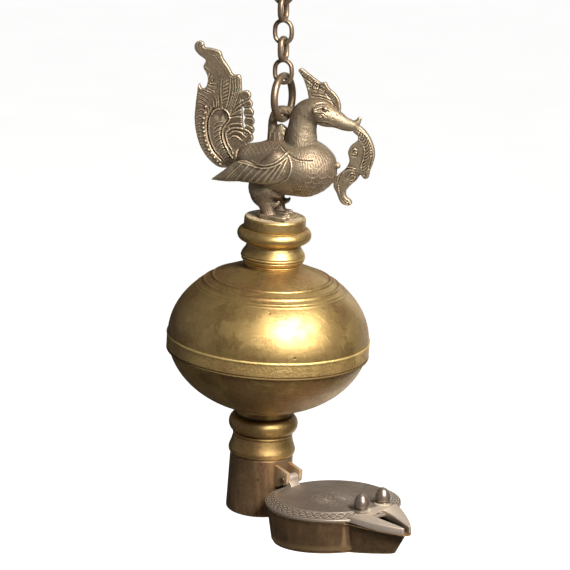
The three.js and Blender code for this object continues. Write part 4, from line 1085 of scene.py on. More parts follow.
def carve_flat(mesh, strokes):
    """Carves both faces of a plate that stands in the goose's plane."""
    places, facing = points_of(mesh), normals_of(mesh)
    depth = stroke_depth(places[:, [0, 2]], strokes) * np.clip((np.abs(facing[:, 1]) - 0.2) / 0.5, 0, 1)
    places[:, 1] += np.sign(facing[:, 1]) * depth
    set_points(mesh, places)


# Crest and sprig: their edges and the lines carved on them

CREST_OUTLINE = [
    (13, 131), (15.5, 132.8), (22, 129), (29, 124.6), (34, 122), (37.5, 123), (41, 118), (46, 114.5),
    (50.5, 109), (52.5, 101), (50, 92), (36, 95), (25.4, 98), (24, 106), (21.4, 116), (17.2, 125)]
CREST_LINES = [
    [(17, 128.3), (20.9, 122.8), (23.7, 115.9), (26.4, 110.9)],
    [(22.3, 124.4), (25.9, 121.6), (25.1, 117.5), (22.7, 118.4)],
    [(28, 122.7), (31.4, 121), (31.1, 116.6), (27.8, 116.6)],
    [(34.2, 119.3), (37, 117.2), (36.3, 113.4), (33.3, 113.7)],
    [(27.3, 111), (34.7, 110.9), (43.7, 108.3), (49.4, 102.5)]]
CREST_RIM = [(15, 131), (24.3, 126.6), (32.4, 121.2), (37.6, 119.4), (43.1, 115), (48.6, 108.6), (50.4, 100)]
SPRIG_OUTLINE = [
    (64, 88), (70, 88), (75, 84.5), (80, 78.5), (83.6, 71), (85, 64), (84, 57), (81.8, 50), (80.4, 43),
    (77, 42.6), (74, 45.6), (70, 39.5), (64.5, 34), (61.6, 29), (62.6, 24.6), (66.6, 22), (67.6, 18.6),
    (63.5, 17), (58, 19.4), (54, 27), (50.8, 32.6), (51.2, 39.8), (53.7, 42.8), (56.2, 45.7), (60.4, 49.7),
    (63.4, 57), (61.6, 64), (63.9, 70.4), (69.3, 75.4), (69.4, 79), (65, 82.4)]
SPRIG_LINES = [
    [(66.3, 81), (72.4, 77.2), (75.9, 70.3), (76.2, 61.5), (74.4, 52.5), (77.5, 46.9)],
    [(68.9, 85.6), (76, 80.6), (81, 72.3), (82.5, 63.7), (80.9, 53.2)],
    [(65.1, 65.4), (67.2, 67.9), (69.6, 66.4), (68.7, 62.7), (66, 63)],
    [(54.3, 38.4), (56.8, 46.1), (62.4, 51.1), (69.1, 50.4)],
    [(63, 42.3), (65.7, 46.3), (69.4, 45.3), (68.9, 41.5), (65.5, 39.7)],
    [(55.3, 34.1), (57.3, 26.9), (61.4, 21.4), (64.5, 19.5)]]


def make_head_leaves():
    """The crest on the head and the leafy sprig hung from the beak."""
    step = size("carving")
    crest = fused("crest", [plate("crest", CREST_OUTLINE, 4.4, 0.9, smooth=90)], step, 3)
    rim, inner = spline(CREST_RIM, 30), spline(shifted(CREST_RIM, -2.6, -2.4), 30)
    ticks = [([a, b], 0.35, -0.4) for a, b in zip(rim, inner)]
    lines = [(shifted(CREST_RIM, -3, -2.8), 0.5, -0.5)] + ridges(CREST_LINES, 0.5, 0.7, 0.8)
    carve_flat(crest, lines + ticks)
    carved_piece("crest_casting", "crest", crest)
    sprig = fused("sprig", [plate("sprig", SPRIG_OUTLINE, 6.4, 1.3, smooth=130)], step, 5)
    inner, outer = spline(SPRIG_LINES[0], 30), spline(SPRIG_LINES[1], 30)
    ribs = [[inner[k], (inner[k] + outer[k]) / 2 - (0.0, 1.5), outer[k]] for k in range(2, 28, 2)]
    carve_flat(sprig, ridges(SPRIG_LINES, 0.5, 0.8, 0.9) + ridges(ribs, 0.4, 0.45, 0.5))
    carved_piece("beak_sprig_casting", "beak_sprig", sprig)


# Turned pieces of the lamp

def swelling(bottom, top, root, crown, steps=22):
    """A round moulding."""
    height, half = (bottom + top) / 2, (top - bottom) / 2
    turns = np.linspace(0, math.pi, steps)
    return [(root + (crown - root) * math.sin(t), height - half * math.cos(t)) for t in turns]


def make_necks():
    """The plinth under the goose and the two necks of the reservoir."""
    seat = RESERVOIR_CENTRE + oval_height(UPPER_MOUTH) + GAP
    height, tongue = 19.3, 5
    top = seat + height

    def band(t):
        return seat + 2.2 + (height - 7.9) * t

    upper = [(19.7, seat - tongue), (19.7, seat), (24.4, seat - 0.7), (24.6, seat + 0.6)]
    upper += rounded([(25.3, seat + 1.6), (25.0, seat + 2.4), (26.6, band(0.12)), (27.9, band(0.28)),
                      (28.1, band(0.36)), (27.0, band(0.42)), (28.5, band(0.48)), (28.6, band(0.6)),
                      (27.4, band(0.66)), (28.1, band(0.71)), (27.6, band(0.8)), (26.5, band(0.95)),
                      (25.0, band(1.12)), (23.9, top - 1.0), (23.8, top)], 0.5)
    upper += [(16.0, top), (16.0, seat - tongue)]
    turned_piece("upper_neck_turning", "upper_neck", upper, step=0.6, wear_and_painted_light=0.12)
    base = top + GAP
    torus = base + 2.2
    plinth = [(0, PLINTH_TOP - 5), (11.7, PLINTH_TOP - 5), (11.7, base - 11), (15.7, base - 11), (15.7, base),
              (23.8, base), (24.6, base + 1.4)]
    plinth += swelling(torus, torus + 12, 27, 32.7)
    plinth += rounded([(27.2, torus + 12.6), (27.3, torus + 14), (27.1, PLINTH_TOP - 1.6),
                       (26.3, PLINTH_TOP - 0.3), (25.2, PLINTH_TOP), (8, PLINTH_TOP)], 0.6)
    plinth.append((0, PLINTH_TOP))
    turned_piece("plinth_turning", "plinth", plinth, loop=False, step=0.7, shape=cast_pad, wear_and_painted_light=0.15)
    make_lower_neck()


def cast_pad(mesh):
    """Sinks hollows into the plinth's top, where the goose was cast on, and marks its dusty skin."""
    places = points_of(mesh)
    x, y, z = places.T
    top = np.clip((z - PLINTH_TOP + 0.5) / 0.4, 0, 1)
    lumps = np.zeros_like(x)
    for turn, pace in ((0.3, 0.55), (1.4, 0.83), (2.3, 1.27), (2.9, 1.9)):
        run = x * math.cos(turn) + y * math.sin(turn)
        lumps += np.sin(run * pace + turn * 3 + np.sin(y * pace * 0.6)) / 4
    places[:, 2] -= top * (0.55 + 0.55 * lumps) * np.clip((26 - np.hypot(x, y)) / 2, 0, 1)
    set_points(mesh, places)
    mark(mesh, "dust_and_highlight", top * 0.75)


def make_lower_neck():
    """The lower neck with its spigot in the cup, and the dip tube that sets the oil's level."""
    base, spigot, tongue = CUP_TOP + GAP, 7, 4
    collar_top = base + 17.5
    torus = collar_top + 2.8
    seat = RESERVOIR_CENTRE - oval_height(LOWER_MOUTH) - GAP
    bore = [(18.7, seat + tongue), (18.7, base - spigot), (24.9, base - spigot), (24.9, base)]
    collar = spline([(28.6, base + 0.2), (29.6, base + 1.2), (29.9, base + 4.8), (29.3, base + 6.8),
                     (28.2, base + 9.8), (27.2, base + 13.5), (26.4, base + 17.0)], 30)
    lip = rounded([(26.9, collar_top + 0.35), (27.1, collar_top + 1.1), (26.6, collar_top + 1.8),
                   (24.9, collar_top + 2.4)], 0.4)
    outside = [(28.4, base), *collar, *lip, *swelling(torus, torus + 15, 25.6, 31),
               (24.5, torus + 16), (24.4, seat), (21.7, seat), (21.7, seat + tongue)]
    turned_piece("lower_neck_turning", "lower_neck", bore + outside, step=0.8, wear_and_painted_light=0.14)
    seat, flange, foot = base - spigot, base - spigot + 3.5, 18
    dip = [(6.5, foot), (9, foot), (9, seat), (18.4, seat), (18.4, flange), (6.5, flange), (6.5, foot)]
    turned_piece("dip_tube_turning", "dip_tube", rounded(dip, 0.3), step=1.2, wear_and_painted_light=0.14)


def make_reservoir():
    """Two spun bowls and the band over their joint."""
    radius, half = size("reservoir_radius"), size("reservoir_half")
    inner_r, inner_h, joint = radius - BOWL_WALL, half - BOWL_WALL, GAP / 2
    upper = arc(radius, half, SEAM + joint, oval_height(SHOULDER_OUTER), 60)
    for inner, outer, rise in SHOULDER_BEADS:
        upper += bead(inner, outer, rise)
    upper += arc(radius, half, oval_height(SHOULDER_INNER), oval_height(UPPER_MOUTH), 30)
    upper += arc(inner_r, inner_h, oval_height(UPPER_MOUTH, inner_r, inner_h), SEAM + joint, 40)
    turned_piece("reservoir_upper_turning", "reservoir_upper_bowl", upper, step=1.6, wear_and_painted_light=0.45)
    lower = arc(radius, half, -oval_height(LOWER_MOUTH), SEAM - joint, 70)
    lower += arc(inner_r, inner_h, SEAM - joint, -oval_height(LOWER_MOUTH, inner_r, inner_h), 40)
    turned_piece("reservoir_lower_turning", "reservoir_lower_bowl", lower, step=1.6, wear_and_painted_light=0.7)
    make_band()


def make_band():
    """The band, with a bead on top and a groove over its lower lip; the bead carries a painted highlight, the
    groove and lip painted shade.
    """
    radius, half = size("reservoir_radius"), size("reservoir_half")
    top, bottom, proud = 2.2, -13.6, 0.98
    seat = [(radius * math.sqrt(1 - (z / half) ** 2) + GAP * 0.4, RESERVOIR_CENTRE + z)
            for z in (top, 0, -3, -6, -9, bottom)]
    face = rounded([(radius + 0.05, bottom), (radius + 0.6, bottom + 0.4), (radius + 0.75, bottom + 1.1),
                    (radius + 0.15, bottom + 1.7), (radius + 0.1, bottom + 2.4), (radius + 0.6, bottom + 3.2),
                    (radius + 0.6, top - 2.6), (radius + proud, top - 1.9), (radius + proud, top - 0.9),
                    (radius + 0.5, top)], 0.35)
    line = seat + [(r, RESERVOIR_CENTRE + z) for r, z in face]
    turned_piece("reservoir_band_turning", "reservoir_band", line, kind="band", step=0.6, shape=band_highlight_and_shade)


def band_highlight_and_shade(mesh):
    """Paints a highlight along the band's top bead, and shade along its groove and lower lip."""
    rise = points_of(mesh)[:, 2] - RESERVOIR_CENTRE
    # bright is a painted highlight on the top bead; grimy is painted shade over the groove and under the
    # lower lip
    bright = np.exp(-((rise - 1.4) / 1.0) ** 2)
    grimy = np.exp(-((rise + 11.6) / 1.0) ** 2) + np.clip((-12.2 - rise) / 0.5, 0, 1)
    mark(mesh, "wear_and_painted_light", 0.5 + 0.45 * bright - 0.45 * np.minimum(grimy, 1))


# Feed cup, hinge and pan

# The hinge pin from the cup's wall and foot, the ears beside the lid's tongue, and the tube under the oil
PIN_REACH = 9.6
PIN_HEIGHT = 38.4
PIN_RADIUS = 1.8
PIN_HOLE = 2.1
EAR_APART = 8.0
EAR_THICKNESS = 4.0
TUBE_HEIGHT = 14.0
TUBE_BORE = 5
TUBE_RADIUS = 8


def make_cup():
    """The feed cup with two ears, the hinge pin and the tube that feeds the pan."""
    r, wall, floor = size("cup_radius"), 3.1, 3.5
    foot = r + 1.3
    outline = rounded([(0, 0), (foot - 1.1, 0), (foot - 0.1, 1.2), (r, CUP_TOP - 0.8), (r - 0.5, CUP_TOP),
                       (r - wall, CUP_TOP), (foot - wall, floor + 2), (foot - wall - 2, floor),
                       (0, floor)], 0.8)
    cup = spin("cup", dense(outline, 1.2))
    pin_x, pin_z, reach, rise = r + PIN_REACH, PIN_HEIGHT, 4.8, 7.0
    root = r - wall * 0.7
    nose = [(pin_x + reach * math.cos(math.radians(t)), pin_z + reach * math.sin(math.radians(t)))
            for t in range(10, -91, -10)]
    ear = [(root, pin_z + rise + 4), (pin_x + reach, pin_z + rise), *nose,
           ((root + pin_x) / 2, pin_z - reach - 3), (root, pin_z - reach - 4.5)]
    hole = [(pin_x + PIN_HOLE * math.cos(t), pin_z + PIN_HOLE * math.sin(t)) for t in full_turn(24)]
    ears = [moved(plate("ear", ear, EAR_THICKNESS, 0.5, holes=(hole,)), y=side * EAR_APART)
            for side in (-1, 1)]
    whole = merged("cup", [cup, *ears])
    mark_along(whole, profile_length(whole))
    # The ears get a pale, less metallic mark that is partly dusty and partly a painted highlight
    mark(whole, "dust_and_highlight", 0.5 * np.clip((points_of(whole)[:, 0] - r + 1) / 3, 0, 1))
    feed_piece("feed_cup_turning", "feed_cup", whole, wear_and_painted_light=0.15)
    neck, head = EAR_APART + EAR_THICKNESS / 2 + GAP, 2.9
    end = neck + 1.2
    pin = spin("pin", rounded([(0, -end), (head, -end), (head, -neck), (PIN_RADIUS, -neck),
                               (PIN_RADIUS, neck), (head, neck), (head, end), (0, end)], 0.3), flats=40)
    feed_piece("hinge_pin_turning", "lid_hinge_pin", upright(pin, pin_x, 0, pin_z), wear_and_painted_light=0.2)
    start, stop = r - wall - 1, r + 8.5
    feed = spin("tube", [(TUBE_BORE, start), (TUBE_RADIUS, start), (TUBE_RADIUS, stop), (TUBE_BORE, stop)],
                flats=64, loop=True)
    moved(feed, z=TUBE_HEIGHT, turn=Matrix.Rotation(math.pi / 2, 4, "Y"))
    feed_piece("feed_tube_turning", "feed_tube", feed, wear_and_painted_light=0.2)


# The spout from the middle of the pan's round part, how far its sides lean in, and the slope of its rim
SPOUT_BACK = 34.0
SPOUT_LENGTH = 97.5
SPOUT_HALF = 28.0
SPOUT_TIP = 5.5
SPOUT_TURN = math.radians(-5.0)
SPOUT_LEAN = (0.3, 0.18)
SLOPE_START = 49.4
SPOUT_SLOPE = 0.11
SPOUT_DROP = 2.0
PAN_HEIGHT = 32.5
PAN_WALL = 3.5
PAN_FLOOR = 3.6
PAN_TAPER = 4.5
FOOT_RISE = 0.06


def bend(start, first, second, end, steps):
    """Points of a bend between two ends."""
    t = np.linspace(0, 1, steps)[:, None]
    start, first, second, end = (np.array(p) for p in (start, first, second, end))
    return (1 - t) ** 3 * start + 3 * (1 - t) ** 2 * t * first + 3 * (1 - t) * t * t * second + t ** 3 * end


def spout_x(share, length=SPOUT_LENGTH):
    """The place of a share of the spout's length, from its root to its tip."""
    return SPOUT_BACK + (length - SPOUT_BACK) * share


def spout_edge(length, half, tip, steps=60):
    """One side of the spout seen from above, from its root to its rounded tip."""
    root, belly, waist, end = (spout_x(share, length) for share in (0.276, 0.457, 0.724, 0.945))
    side = bend((root, half), (belly, 0.89 * half), (waist, 0.57 * half), (end, tip), steps)
    nose = bend((end, tip), (spout_x(0.982, length), tip * 0.67), (length, tip * 0.33), (length, 0.0), 12)
    return np.vstack([[(SPOUT_BACK, half)], side, nose[1:]])


def pan_edge(turns, round_radius, length, half, tip, fall):
    """The pan's edge seen from above at some turns, where fall is 0 at the rim and 1 at the foot."""
    side = spout_edge(length, half, tip)
    side[:, 0] = SPOUT_BACK + (side[:, 0] - SPOUT_BACK) * (1 - SPOUT_LEAN[0] * fall)
    side[:, 1] *= 1 - SPOUT_LEAN[1] * fall
    angles = np.arctan2(side[:, 1], side[:, 0])
    order = np.argsort(angles)
    from_spout = np.abs((turns - SPOUT_TURN + math.pi) % (2 * math.pi) - math.pi)
    far = np.interp(from_spout, angles[order], np.hypot(side[:, 0], side[:, 1])[order], right=0.0)
    return np.maximum(far, round_radius)


def notch_turn():
    """The turn, from the spout's middle, at which the pan's round part meets the spout."""
    return math.atan2(SPOUT_HALF, math.sqrt(size("pan_radius") ** 2 - SPOUT_HALF ** 2))


def pan_turns(count=720):
    """Turns round the pan, closer together at the notch and the tip."""
    extra = [SPOUT_TURN + side * (notch_turn() + d) for side in (-1, 1) for d in np.linspace(-0.06, 0.03, 19)]
    base = np.linspace(-math.pi, math.pi, count, endpoint=False)
    return np.unique(np.round(np.concatenate([base, extra, SPOUT_TURN + np.linspace(-0.06, 0.06, 25)]), 5))


def make_pan():
    """The heart-shaped lamp pan, with a crease where its round part meets the spout."""
    r, height, roll = size("pan_radius"), PAN_HEIGHT, 3
    turns = pan_turns()

    def outer(depth):
        fall = depth / height
        under = max(0.0, 1 - ((depth - height + roll) / roll) ** 2)
        inset = PAN_TAPER * fall if depth < height - roll else PAN_TAPER + 0.4 + 1.8 * (1 - math.sqrt(under))
        return pan_edge(turns, r - inset, SPOUT_LENGTH, SPOUT_HALF, SPOUT_TIP, fall)

    def inner(depth):
        fall = depth / height
        length, half = SPOUT_LENGTH - 1.8 * PAN_WALL, SPOUT_HALF - PAN_WALL
        return pan_edge(turns, r - PAN_WALL - PAN_TAPER * fall, length, half, SPOUT_TIP / 2, fall)

    bottom = height - PAN_FLOOR
    rim_out, rim_in = outer(0), inner(0)
    edges = [(outer(height) * 0.02, height), (outer(height) - 1.2, height)]
    depths = (height, height - 0.5, height - 1.3, height - 2.3, height - 3.2, 24, 18, 12, 6, 2.5)
    edges += [(outer(depth), depth) for depth in depths]
    edges += [(rim_out, GAP + 0.8), (rim_out - 0.25, GAP + 0.25), (rim_out - 0.8, GAP), (rim_in + 0.7, GAP),
              (rim_in + 0.15, GAP + 0.3), (rim_in, GAP + 1.0)]
    edges += [(inner(depth), depth) for depth in (6, 12, 18, 24, bottom - 2, bottom - 0.7)]
    edges += [(inner(bottom) - 1.6, bottom), (inner(bottom) * 0.02, bottom)]
    rings = np.array([np.column_stack([edge * np.cos(turns), edge * np.sin(turns), 0 * turns - depth])
                      for edge, depth in edges])
    rings[:, :, 2] *= 1 - FOOT_RISE * rings[:, :, 0] / height
    top = rim_height(rings[:, :, 0], rings[:, :, 1])
    rings[:, :, 2] = np.minimum(rings[:, :, 2], top + (rings[:, :, 2] + GAP) * 0.25)
    mesh = ring_mesh("pan", rings)
    x, y, z = points_of(mesh).T
    mark_along(mesh, z + 40)
    # A painted reflection: a bright line down one side of the crease where the round part meets the spout,
    # added to the worn edges
    crease = np.exp(-((np.arctan2(y, x) - SPOUT_TURN + notch_turn() + 0.06) / 0.04) ** 2)
    mark(mesh, "wear_and_painted_light", worn_edges(mesh, 0.2) + 0.4 * crease)
    piece("lamp_pan_casting", mesh, pan_frame(), "feed", "cup", "pan", "lamp_pan", sharp=40)


def rim_height(x, y):
    """Height of the pan's rim: it slopes down along the spout and is lower behind the hinge."""
    run = x * math.cos(SPOUT_TURN) + y * math.sin(SPOUT_TURN) - SLOPE_START
    slope = -GAP - SPOUT_DROP * np.clip((run + 0.6) / 0.6, 0, 1) - SPOUT_SLOPE * np.maximum(run, 0)
    behind = np.clip((-x - 24) / 2, 0, 1) * np.clip((33.5 - np.abs(y)) / 1.5, 0, 1)
    return slope - 4.3 * behind


# Lid and knobs

# The lid above the pan's rim: its knobs, its plate and the arms beside the wick's slot
KNOB_X, KNOB_Y = 46.4, 13.7
LID_RISE = 5.9
LID_THICKNESS = 2.4
ARM_CROWN = 5.2
ARM_SLOPE = 0.14
ARM_THICKNESS = 6.0
SLOT_HALF = 7.5
SLOT_TIP = 2.8

# The engraving on the lid: the middle of its leaf frieze, the pace of the leaves and the rosette's middle
FRIEZE_RADIUS = 54.4
LEAF_PACE = 3.4
ROSETTE_X, ROSETTE_Y = 8.0, -6.0


def groove(distance, width):
    """The depth of a line across its width, from 0 to 1."""
    return np.exp(-(distance / width) ** 2)


def lid_relief(x, y):
    """Engraving on the lid: a leaf frieze on the sloping border and a rosette near the middle."""
    r, turn = np.hypot(x, y), np.arctan2(y, x)
    across = (r - FRIEZE_RADIUS) / LEAF_PACE
    leaf = np.abs(across) - 0.75 * np.abs(np.sin(turn * 54 / LEAF_PACE * math.pi / 2)) ** 0.7
    frieze = inside(r, 50.6, 58.4, 0.5)
    depth = -frieze * (0.32 * groove(leaf, 0.22) + 0.2 * groove(across, 0.15))
    for line, deep in ((50.4, 0.3), (58.3, 0.25)):
        depth -= deep * groove(r - line, 0.35)
    rx, ry = x - ROSETTE_X, y - ROSETTE_Y
    rr, rt = np.hypot(rx, ry), np.arctan2(ry, rx)
    flower = inside(rr, 1.5, 19, 0.6)
    depth -= 0.22 * flower * groove(rr - 6 - 5 * np.abs(np.sin(rt * 8)), 0.6)
    depth -= 0.2 * flower * groove(rr - 12.5 - 4.5 * np.abs(np.sin(rt * 8 + math.pi / 2)), 0.6)
    depth -= 0.16 * inside(rr, 3, 18, 1) * np.exp(-(np.mod(rt * 24 / math.pi, 1.0) - 0.5) ** 2 / 0.02)
    for line in (19.6, 3.0):
        depth -= 0.25 * groove(rr - line, 0.4)
    return depth


def arm_outline():
    """One arm of the lid seen from above."""
    outer = spout_edge(SPOUT_LENGTH, SPOUT_HALF, SPOUT_TIP)[1:61]
    inner = bend((spout_x(0.945), SLOT_TIP), (spout_x(0.8), SLOT_TIP),
                 (spout_x(0.6), SLOT_HALF), (spout_x(0.44), SLOT_HALF), 24)
    return np.vstack([outer, inner, [(spout_x(0.276), SLOT_HALF)]])


def make_arm(side):
    """A wedge arm of the lid, sloping with the spout's rim."""
    mesh = plate("arm", arm_outline() * (1, side), ARM_THICKNESS, 0.6)
    mesh.transform(Matrix.Rotation(-math.pi / 2, 4, "X"))
    places = points_of(mesh)
    run = places[:, 0] - SLOPE_START
    share = places[:, 2] / ARM_THICKNESS + 0.5
    outward_share = np.clip(np.abs(places[:, 1]) / SPOUT_HALF * 1.3 - 0.2, 0, 1)
    lift = 1.6 * outward_share * np.clip(1 - run / 28, 0, 1)
    low, high = lift - SPOUT_DROP - SPOUT_SLOPE * run, ARM_CROWN - ARM_SLOPE * run
    places[:, 2] = low + (high - low) * share
    set_points(mesh, places)
    mesh.transform(Matrix.Rotation(SPOUT_TURN, 4, "Z"))
    return outward(mesh)


def make_plate():
    """The lid's round plate with its engraved sloping border."""
    r, under = size("lid_radius"), LID_RISE - LID_THICKNESS
    field = r - 10.2
    edge = [(0, under), (field - 0.6, under), (r - LID_THICKNESS, 0.0)] + rounded(
        [(r, 0.0), (r, 1.5), (r - 0.4, 2.0), (field + 0.3, LID_RISE)], 0.4)
    shares = np.linspace(0, 1, 190)[1:]
    disc = spin("disc", dense(edge, 0.6) + [((field + 0.3) * (1 - t), LID_RISE) for t in shares], flats=720)
    places, facing = points_of(disc), normals_of(disc)
    places[:, 2] += np.where(facing[:, 2] > 0.3, lid_relief(places[:, 0], places[:, 1]), 0.0)
    set_points(disc, places)
    mark(disc, "wear_and_painted_light", worn_edges(disc, 0.06, 5))
    mark(disc, "dust_and_highlight", np.zeros(len(disc.vertices)))
    return disc


def make_lid():
    """The lid: plate, arms over the spout, brow and pads under the knobs, and the hinge's tongue."""
    brow = plate("brow", [(42.4, 1), (56, 1), (56, LID_RISE), (42.4, LID_RISE)], 2 * KNOB_Y, 0.7)
    parts = [make_arm(-1), make_arm(1), hinge_tongue(), brow]
    for side in (-1, 1):
        pad = rounded([(0, LID_RISE - LID_THICKNESS), (8.2, LID_RISE - LID_THICKNESS), (8.2, LID_RISE + 0.5),
                       (7.6, LID_RISE + 0.9), (0, LID_RISE + 0.9)], 0.3)
        parts.append(moved(spin("pad", dense(pad, 0.8), flats=72), KNOB_X, side * KNOB_Y))
    rest = merged("lid_rest", parts)
    mark(rest, "wear_and_painted_light", 0.25 + 0.75 * worn_edges(rest, 0.2, 3))
    x, y, _ = points_of(rest).T
    mark(rest, "dust_and_highlight", 0.85 * inside(x, 40, 57.5, 3) * np.clip((17 - np.abs(y)) / 5, 0, 1))
    lid = merged("lid", [make_plate(), rest])
    piece("lid_casting", lid, pan_frame(), "lid", "lid", "lid", "lid", sharp=35)
    for side, name in ((-1, "near"), (1, "far")):
        make_knob(side, name)


def hinge_tongue():
    """The tongue that rises between the cup's ears and the knuckle round the pin."""
    low = pan_frame().inverted() @ feed_frame()
    pin = low @ Vector((size("cup_radius") + PIN_REACH, 0.0, PIN_HEIGHT))
    r, width = 4.2, 11.4
    half = width / 2
    section = [(PIN_HOLE, -half), (r, -half), (r, half), (PIN_HOLE, half), (PIN_HOLE, -half)]
    knuckle = spin("knuckle", rounded(section, 0.3), flats=48, loop=True)
    tongue = plate("tongue", [(pin.x - r + 0.3, pin.z), (pin.x - r - 0.4, LID_RISE / 2),
                              (pin.x + 1.7 * r, LID_RISE - 1.2), (pin.x + r, pin.z - r / 2),
                              (pin.x + r - 0.3, pin.z)], width, 0.4)
    return merged("hinge", [upright(knuckle, pin.x, 0, pin.z), tongue])


def make_knob(side, name):
    """An acorn knob, riveted through the lid."""
    seat, r, h, shank, head, rivet = LID_RISE + 0.9 + GAP, size("knob_radius"), 13.5, 1.5, 2.6, -GAP
    cap = spline([(r * 0.8, seat), (r * 0.78, seat + 0.04 * h), (r * 0.93, seat + 0.11 * h),
                  (r, seat + 0.26 * h), (r * 0.97, seat + 0.42 * h), (r * 0.84, seat + 0.62 * h),
                  (r * 0.56, seat + 0.85 * h), (r * 0.24, seat + 0.96 * h), (0.01, seat + h)], 60)
    line = [(0, rivet - 1.2), (head, rivet - 1.2), (head, rivet), (shank, rivet), (shank, seat), *cap]
    mesh = moved(spin("knob", dense(line, 0.5), flats=96), KNOB_X, side * KNOB_Y)
    piece(f"knob_{name}_turning", mesh, pan_frame(), "lid", "knob", "knob", f"knob_{name}", wear_and_painted_light=0.12)


# Studio

def seen_directly(n):
    """1 for rays from the camera, a mirror or glass."""
    path = n.add("LightPath").outputs
    return n.larger(path["Is Camera Ray"], n.larger(path["Is Glossy Ray"], path["Is Transmission Ray"]))


def pale_floor():
    """A pale floor that reads as white and still shows the lamp's shadow."""
    n = Nodes(bpy.data.materials.new("pale_floor"))
    colour = tuple(colours().floor)
    shade = n.mix(n.ramp(n.noise(n.place(), 3.0), 0.3, 0.7), colour, tint(colour, 0.98))
    matt = n.add("BsdfPrincipled", None, Base_Color=shade, Roughness=0.9)
    glow = n.add("Emission", None, Color=shade, Strength=n.times(seen_directly(n), 0.9))
    both = n.add("AddShader", None, i0=matt.outputs[0], i1=glow.outputs[0])
    n.add("OutputMaterial", None, Surface=both.outputs[0])
    return n.owner


def dark_cloth():
    """The dark studio wall that the bronze mirrors, cool grey at its far left."""
    n = Nodes(bpy.data.materials.new("dark_cloth"))
    where = n.place()
    shade = n.mix(n.ramp(n.noise(where, 1.5), 0.3, 0.7), (0.06, 0.052, 0.046), (0.03, 0.027, 0.025))
    left = n.add("SeparateXYZ", None, Vector=where).outputs[0]
    shade = n.mix(n.ramp(left, -1.8, -3.1), shade, (0.2, 0.2, 0.23))
    glow = n.add("Emission", None, Color=shade, Strength=1.0)
    n.add("OutputMaterial", None, Surface=glow.outputs[0])
    return n.owner


def make_wall():
    """A curved dark wall round the camera's side, seen only in the bronze."""
    turns, radius = np.radians(np.linspace(-285, 50, 84)), 3.2
    # The height of each row of points, and its share of the radius
    heights = ((-1.0, 0.01), (-0.995, 0.45), (-0.99, 1.0), (0.6, 1.0), (1.8, 0.8), (2.6, 0.4), (2.9, 0.02))
    rows = np.array([np.column_stack([k * radius * np.cos(turns), k * radius * np.sin(turns), z + 0 * turns])
                     for z, k in heights])
    count = len(turns)
    starts = [j * count + i for j in range(len(rows) - 1) for i in range(count - 1)]
    mesh = new_mesh("wall", rows.reshape(-1, 3), [(a, a + 1, a + 1 + count, a + count) for a in starts])
    mesh.materials.append(dark_cloth())
    wall = linked("studio_wall", mesh)
    wall.visible_camera = wall.visible_shadow = wall.visible_diffuse = False


def middle():
    """The middle of the reservoir, at which the camera and the lamps point."""
    return lamp_frame() @ Vector((0.0, 0.0, RESERVOIR_CENTRE))


def soft_lamp(name, direction, distance, side, power, colour):
    """A soft box that points at the lamp."""
    light = bpy.data.lights.new(name, "AREA")
    light.shape = "RECTANGLE"
    light.size = light.size_y = side
    light.energy = power
    light.color = colour
    box = linked(name, light)
    box.location = middle() + Vector(direction).normalized() * distance
    box.rotation_euler = (middle() - box.location).to_track_quat("-Z", "Y").to_euler()


def make_world():
    """White wherever the camera or a reflection sees past the studio, soft grey light elsewhere."""
    bpy.context.scene.world = bpy.data.worlds.new("studio")
    n = Nodes(bpy.context.scene.world)
    white = n.add("Background", None, Color=(1.0, 1.0, 1.0), Strength=1.0)
    grey = n.add("Background", None, Color=(0.9, 0.93, 1.0), Strength=0.09)
    mix = n.add("MixShader", None, i0=seen_directly(n), i1=grey.outputs[0], i2=white.outputs[0])
    n.add("OutputWorld", None, Surface=mix.outputs[0])


def make_camera():
    """The camera, which looks slightly down on the middle of the reservoir."""
    camera = linked("camera", bpy.data.cameras.new("camera"))
    tilt = math.radians(CAMERA_ELEVATION)
    camera.location = middle() + Vector((0.0, -math.cos(tilt), math.sin(tilt))) * CAMERA_DISTANCE
    camera.rotation_euler = (math.pi / 2 - tilt, 0.0, 0.0)
    camera.data.lens, camera.data.sensor_width, camera.data.clip_end = CAMERA_LENS, SENSOR_WIDTH, CAMERA_REACH
    camera.data.shift_x, camera.data.shift_y = CAMERA_SHIFT
    bpy.context.scene.camera = camera
    bpy.context.scene.view_settings.view_transform = "Standard"


def make_stage():
    """Camera, floor, lamps and world."""
    corners = [(-9, -6, 0), (9, -6, 0), (9, 12, 0), (-9, 12, 0)]
    floor = linked("floor", new_mesh("floor", corners, [(0, 1, 2, 3)]))
    floor.data.materials.append(pale_floor())
    floor.location = (0.0, 0.0, FLOOR_DROP)
    make_wall()
    make_world()
    for lamp in SOFT_LAMPS:
        soft_lamp(*lamp)
    make_camera()


# Operators, panel and registration

class Builder:
    """What the lamp's operators share."""
    bl_options = {"REGISTER", "UNDO"}

    def execute(self, context):
        """Builds the pieces; an error stops the script."""
        self.build()
        return {"FINISHED"}


class LAMP_OT_chain(Builder, bpy.types.Operator):
    """Build the hook, the chain links and the suspension ring"""
    bl_idname = "lamp.chain"
    bl_label = "Chain and ring"
    build = staticmethod(make_chain)


class LAMP_OT_goose(Builder, bpy.types.Operator):
    """Build the carved goose with its wings, legs and eye"""
    bl_idname = "lamp.goose"
    bl_label = "Goose"
    build = staticmethod(make_goose)


class LAMP_OT_tail(Builder, bpy.types.Operator):
    """Build the tail fan of carved foliage"""
    bl_idname = "lamp.tail"
    bl_label = "Tail fan"
    build = staticmethod(make_tail)


class LAMP_OT_head_leaves(Builder, bpy.types.Operator):
    """Build the crest and the sprig that hangs from the beak"""
    bl_idname = "lamp.head_leaves"
    bl_label = "Crest and sprig"
    build = staticmethod(make_head_leaves)


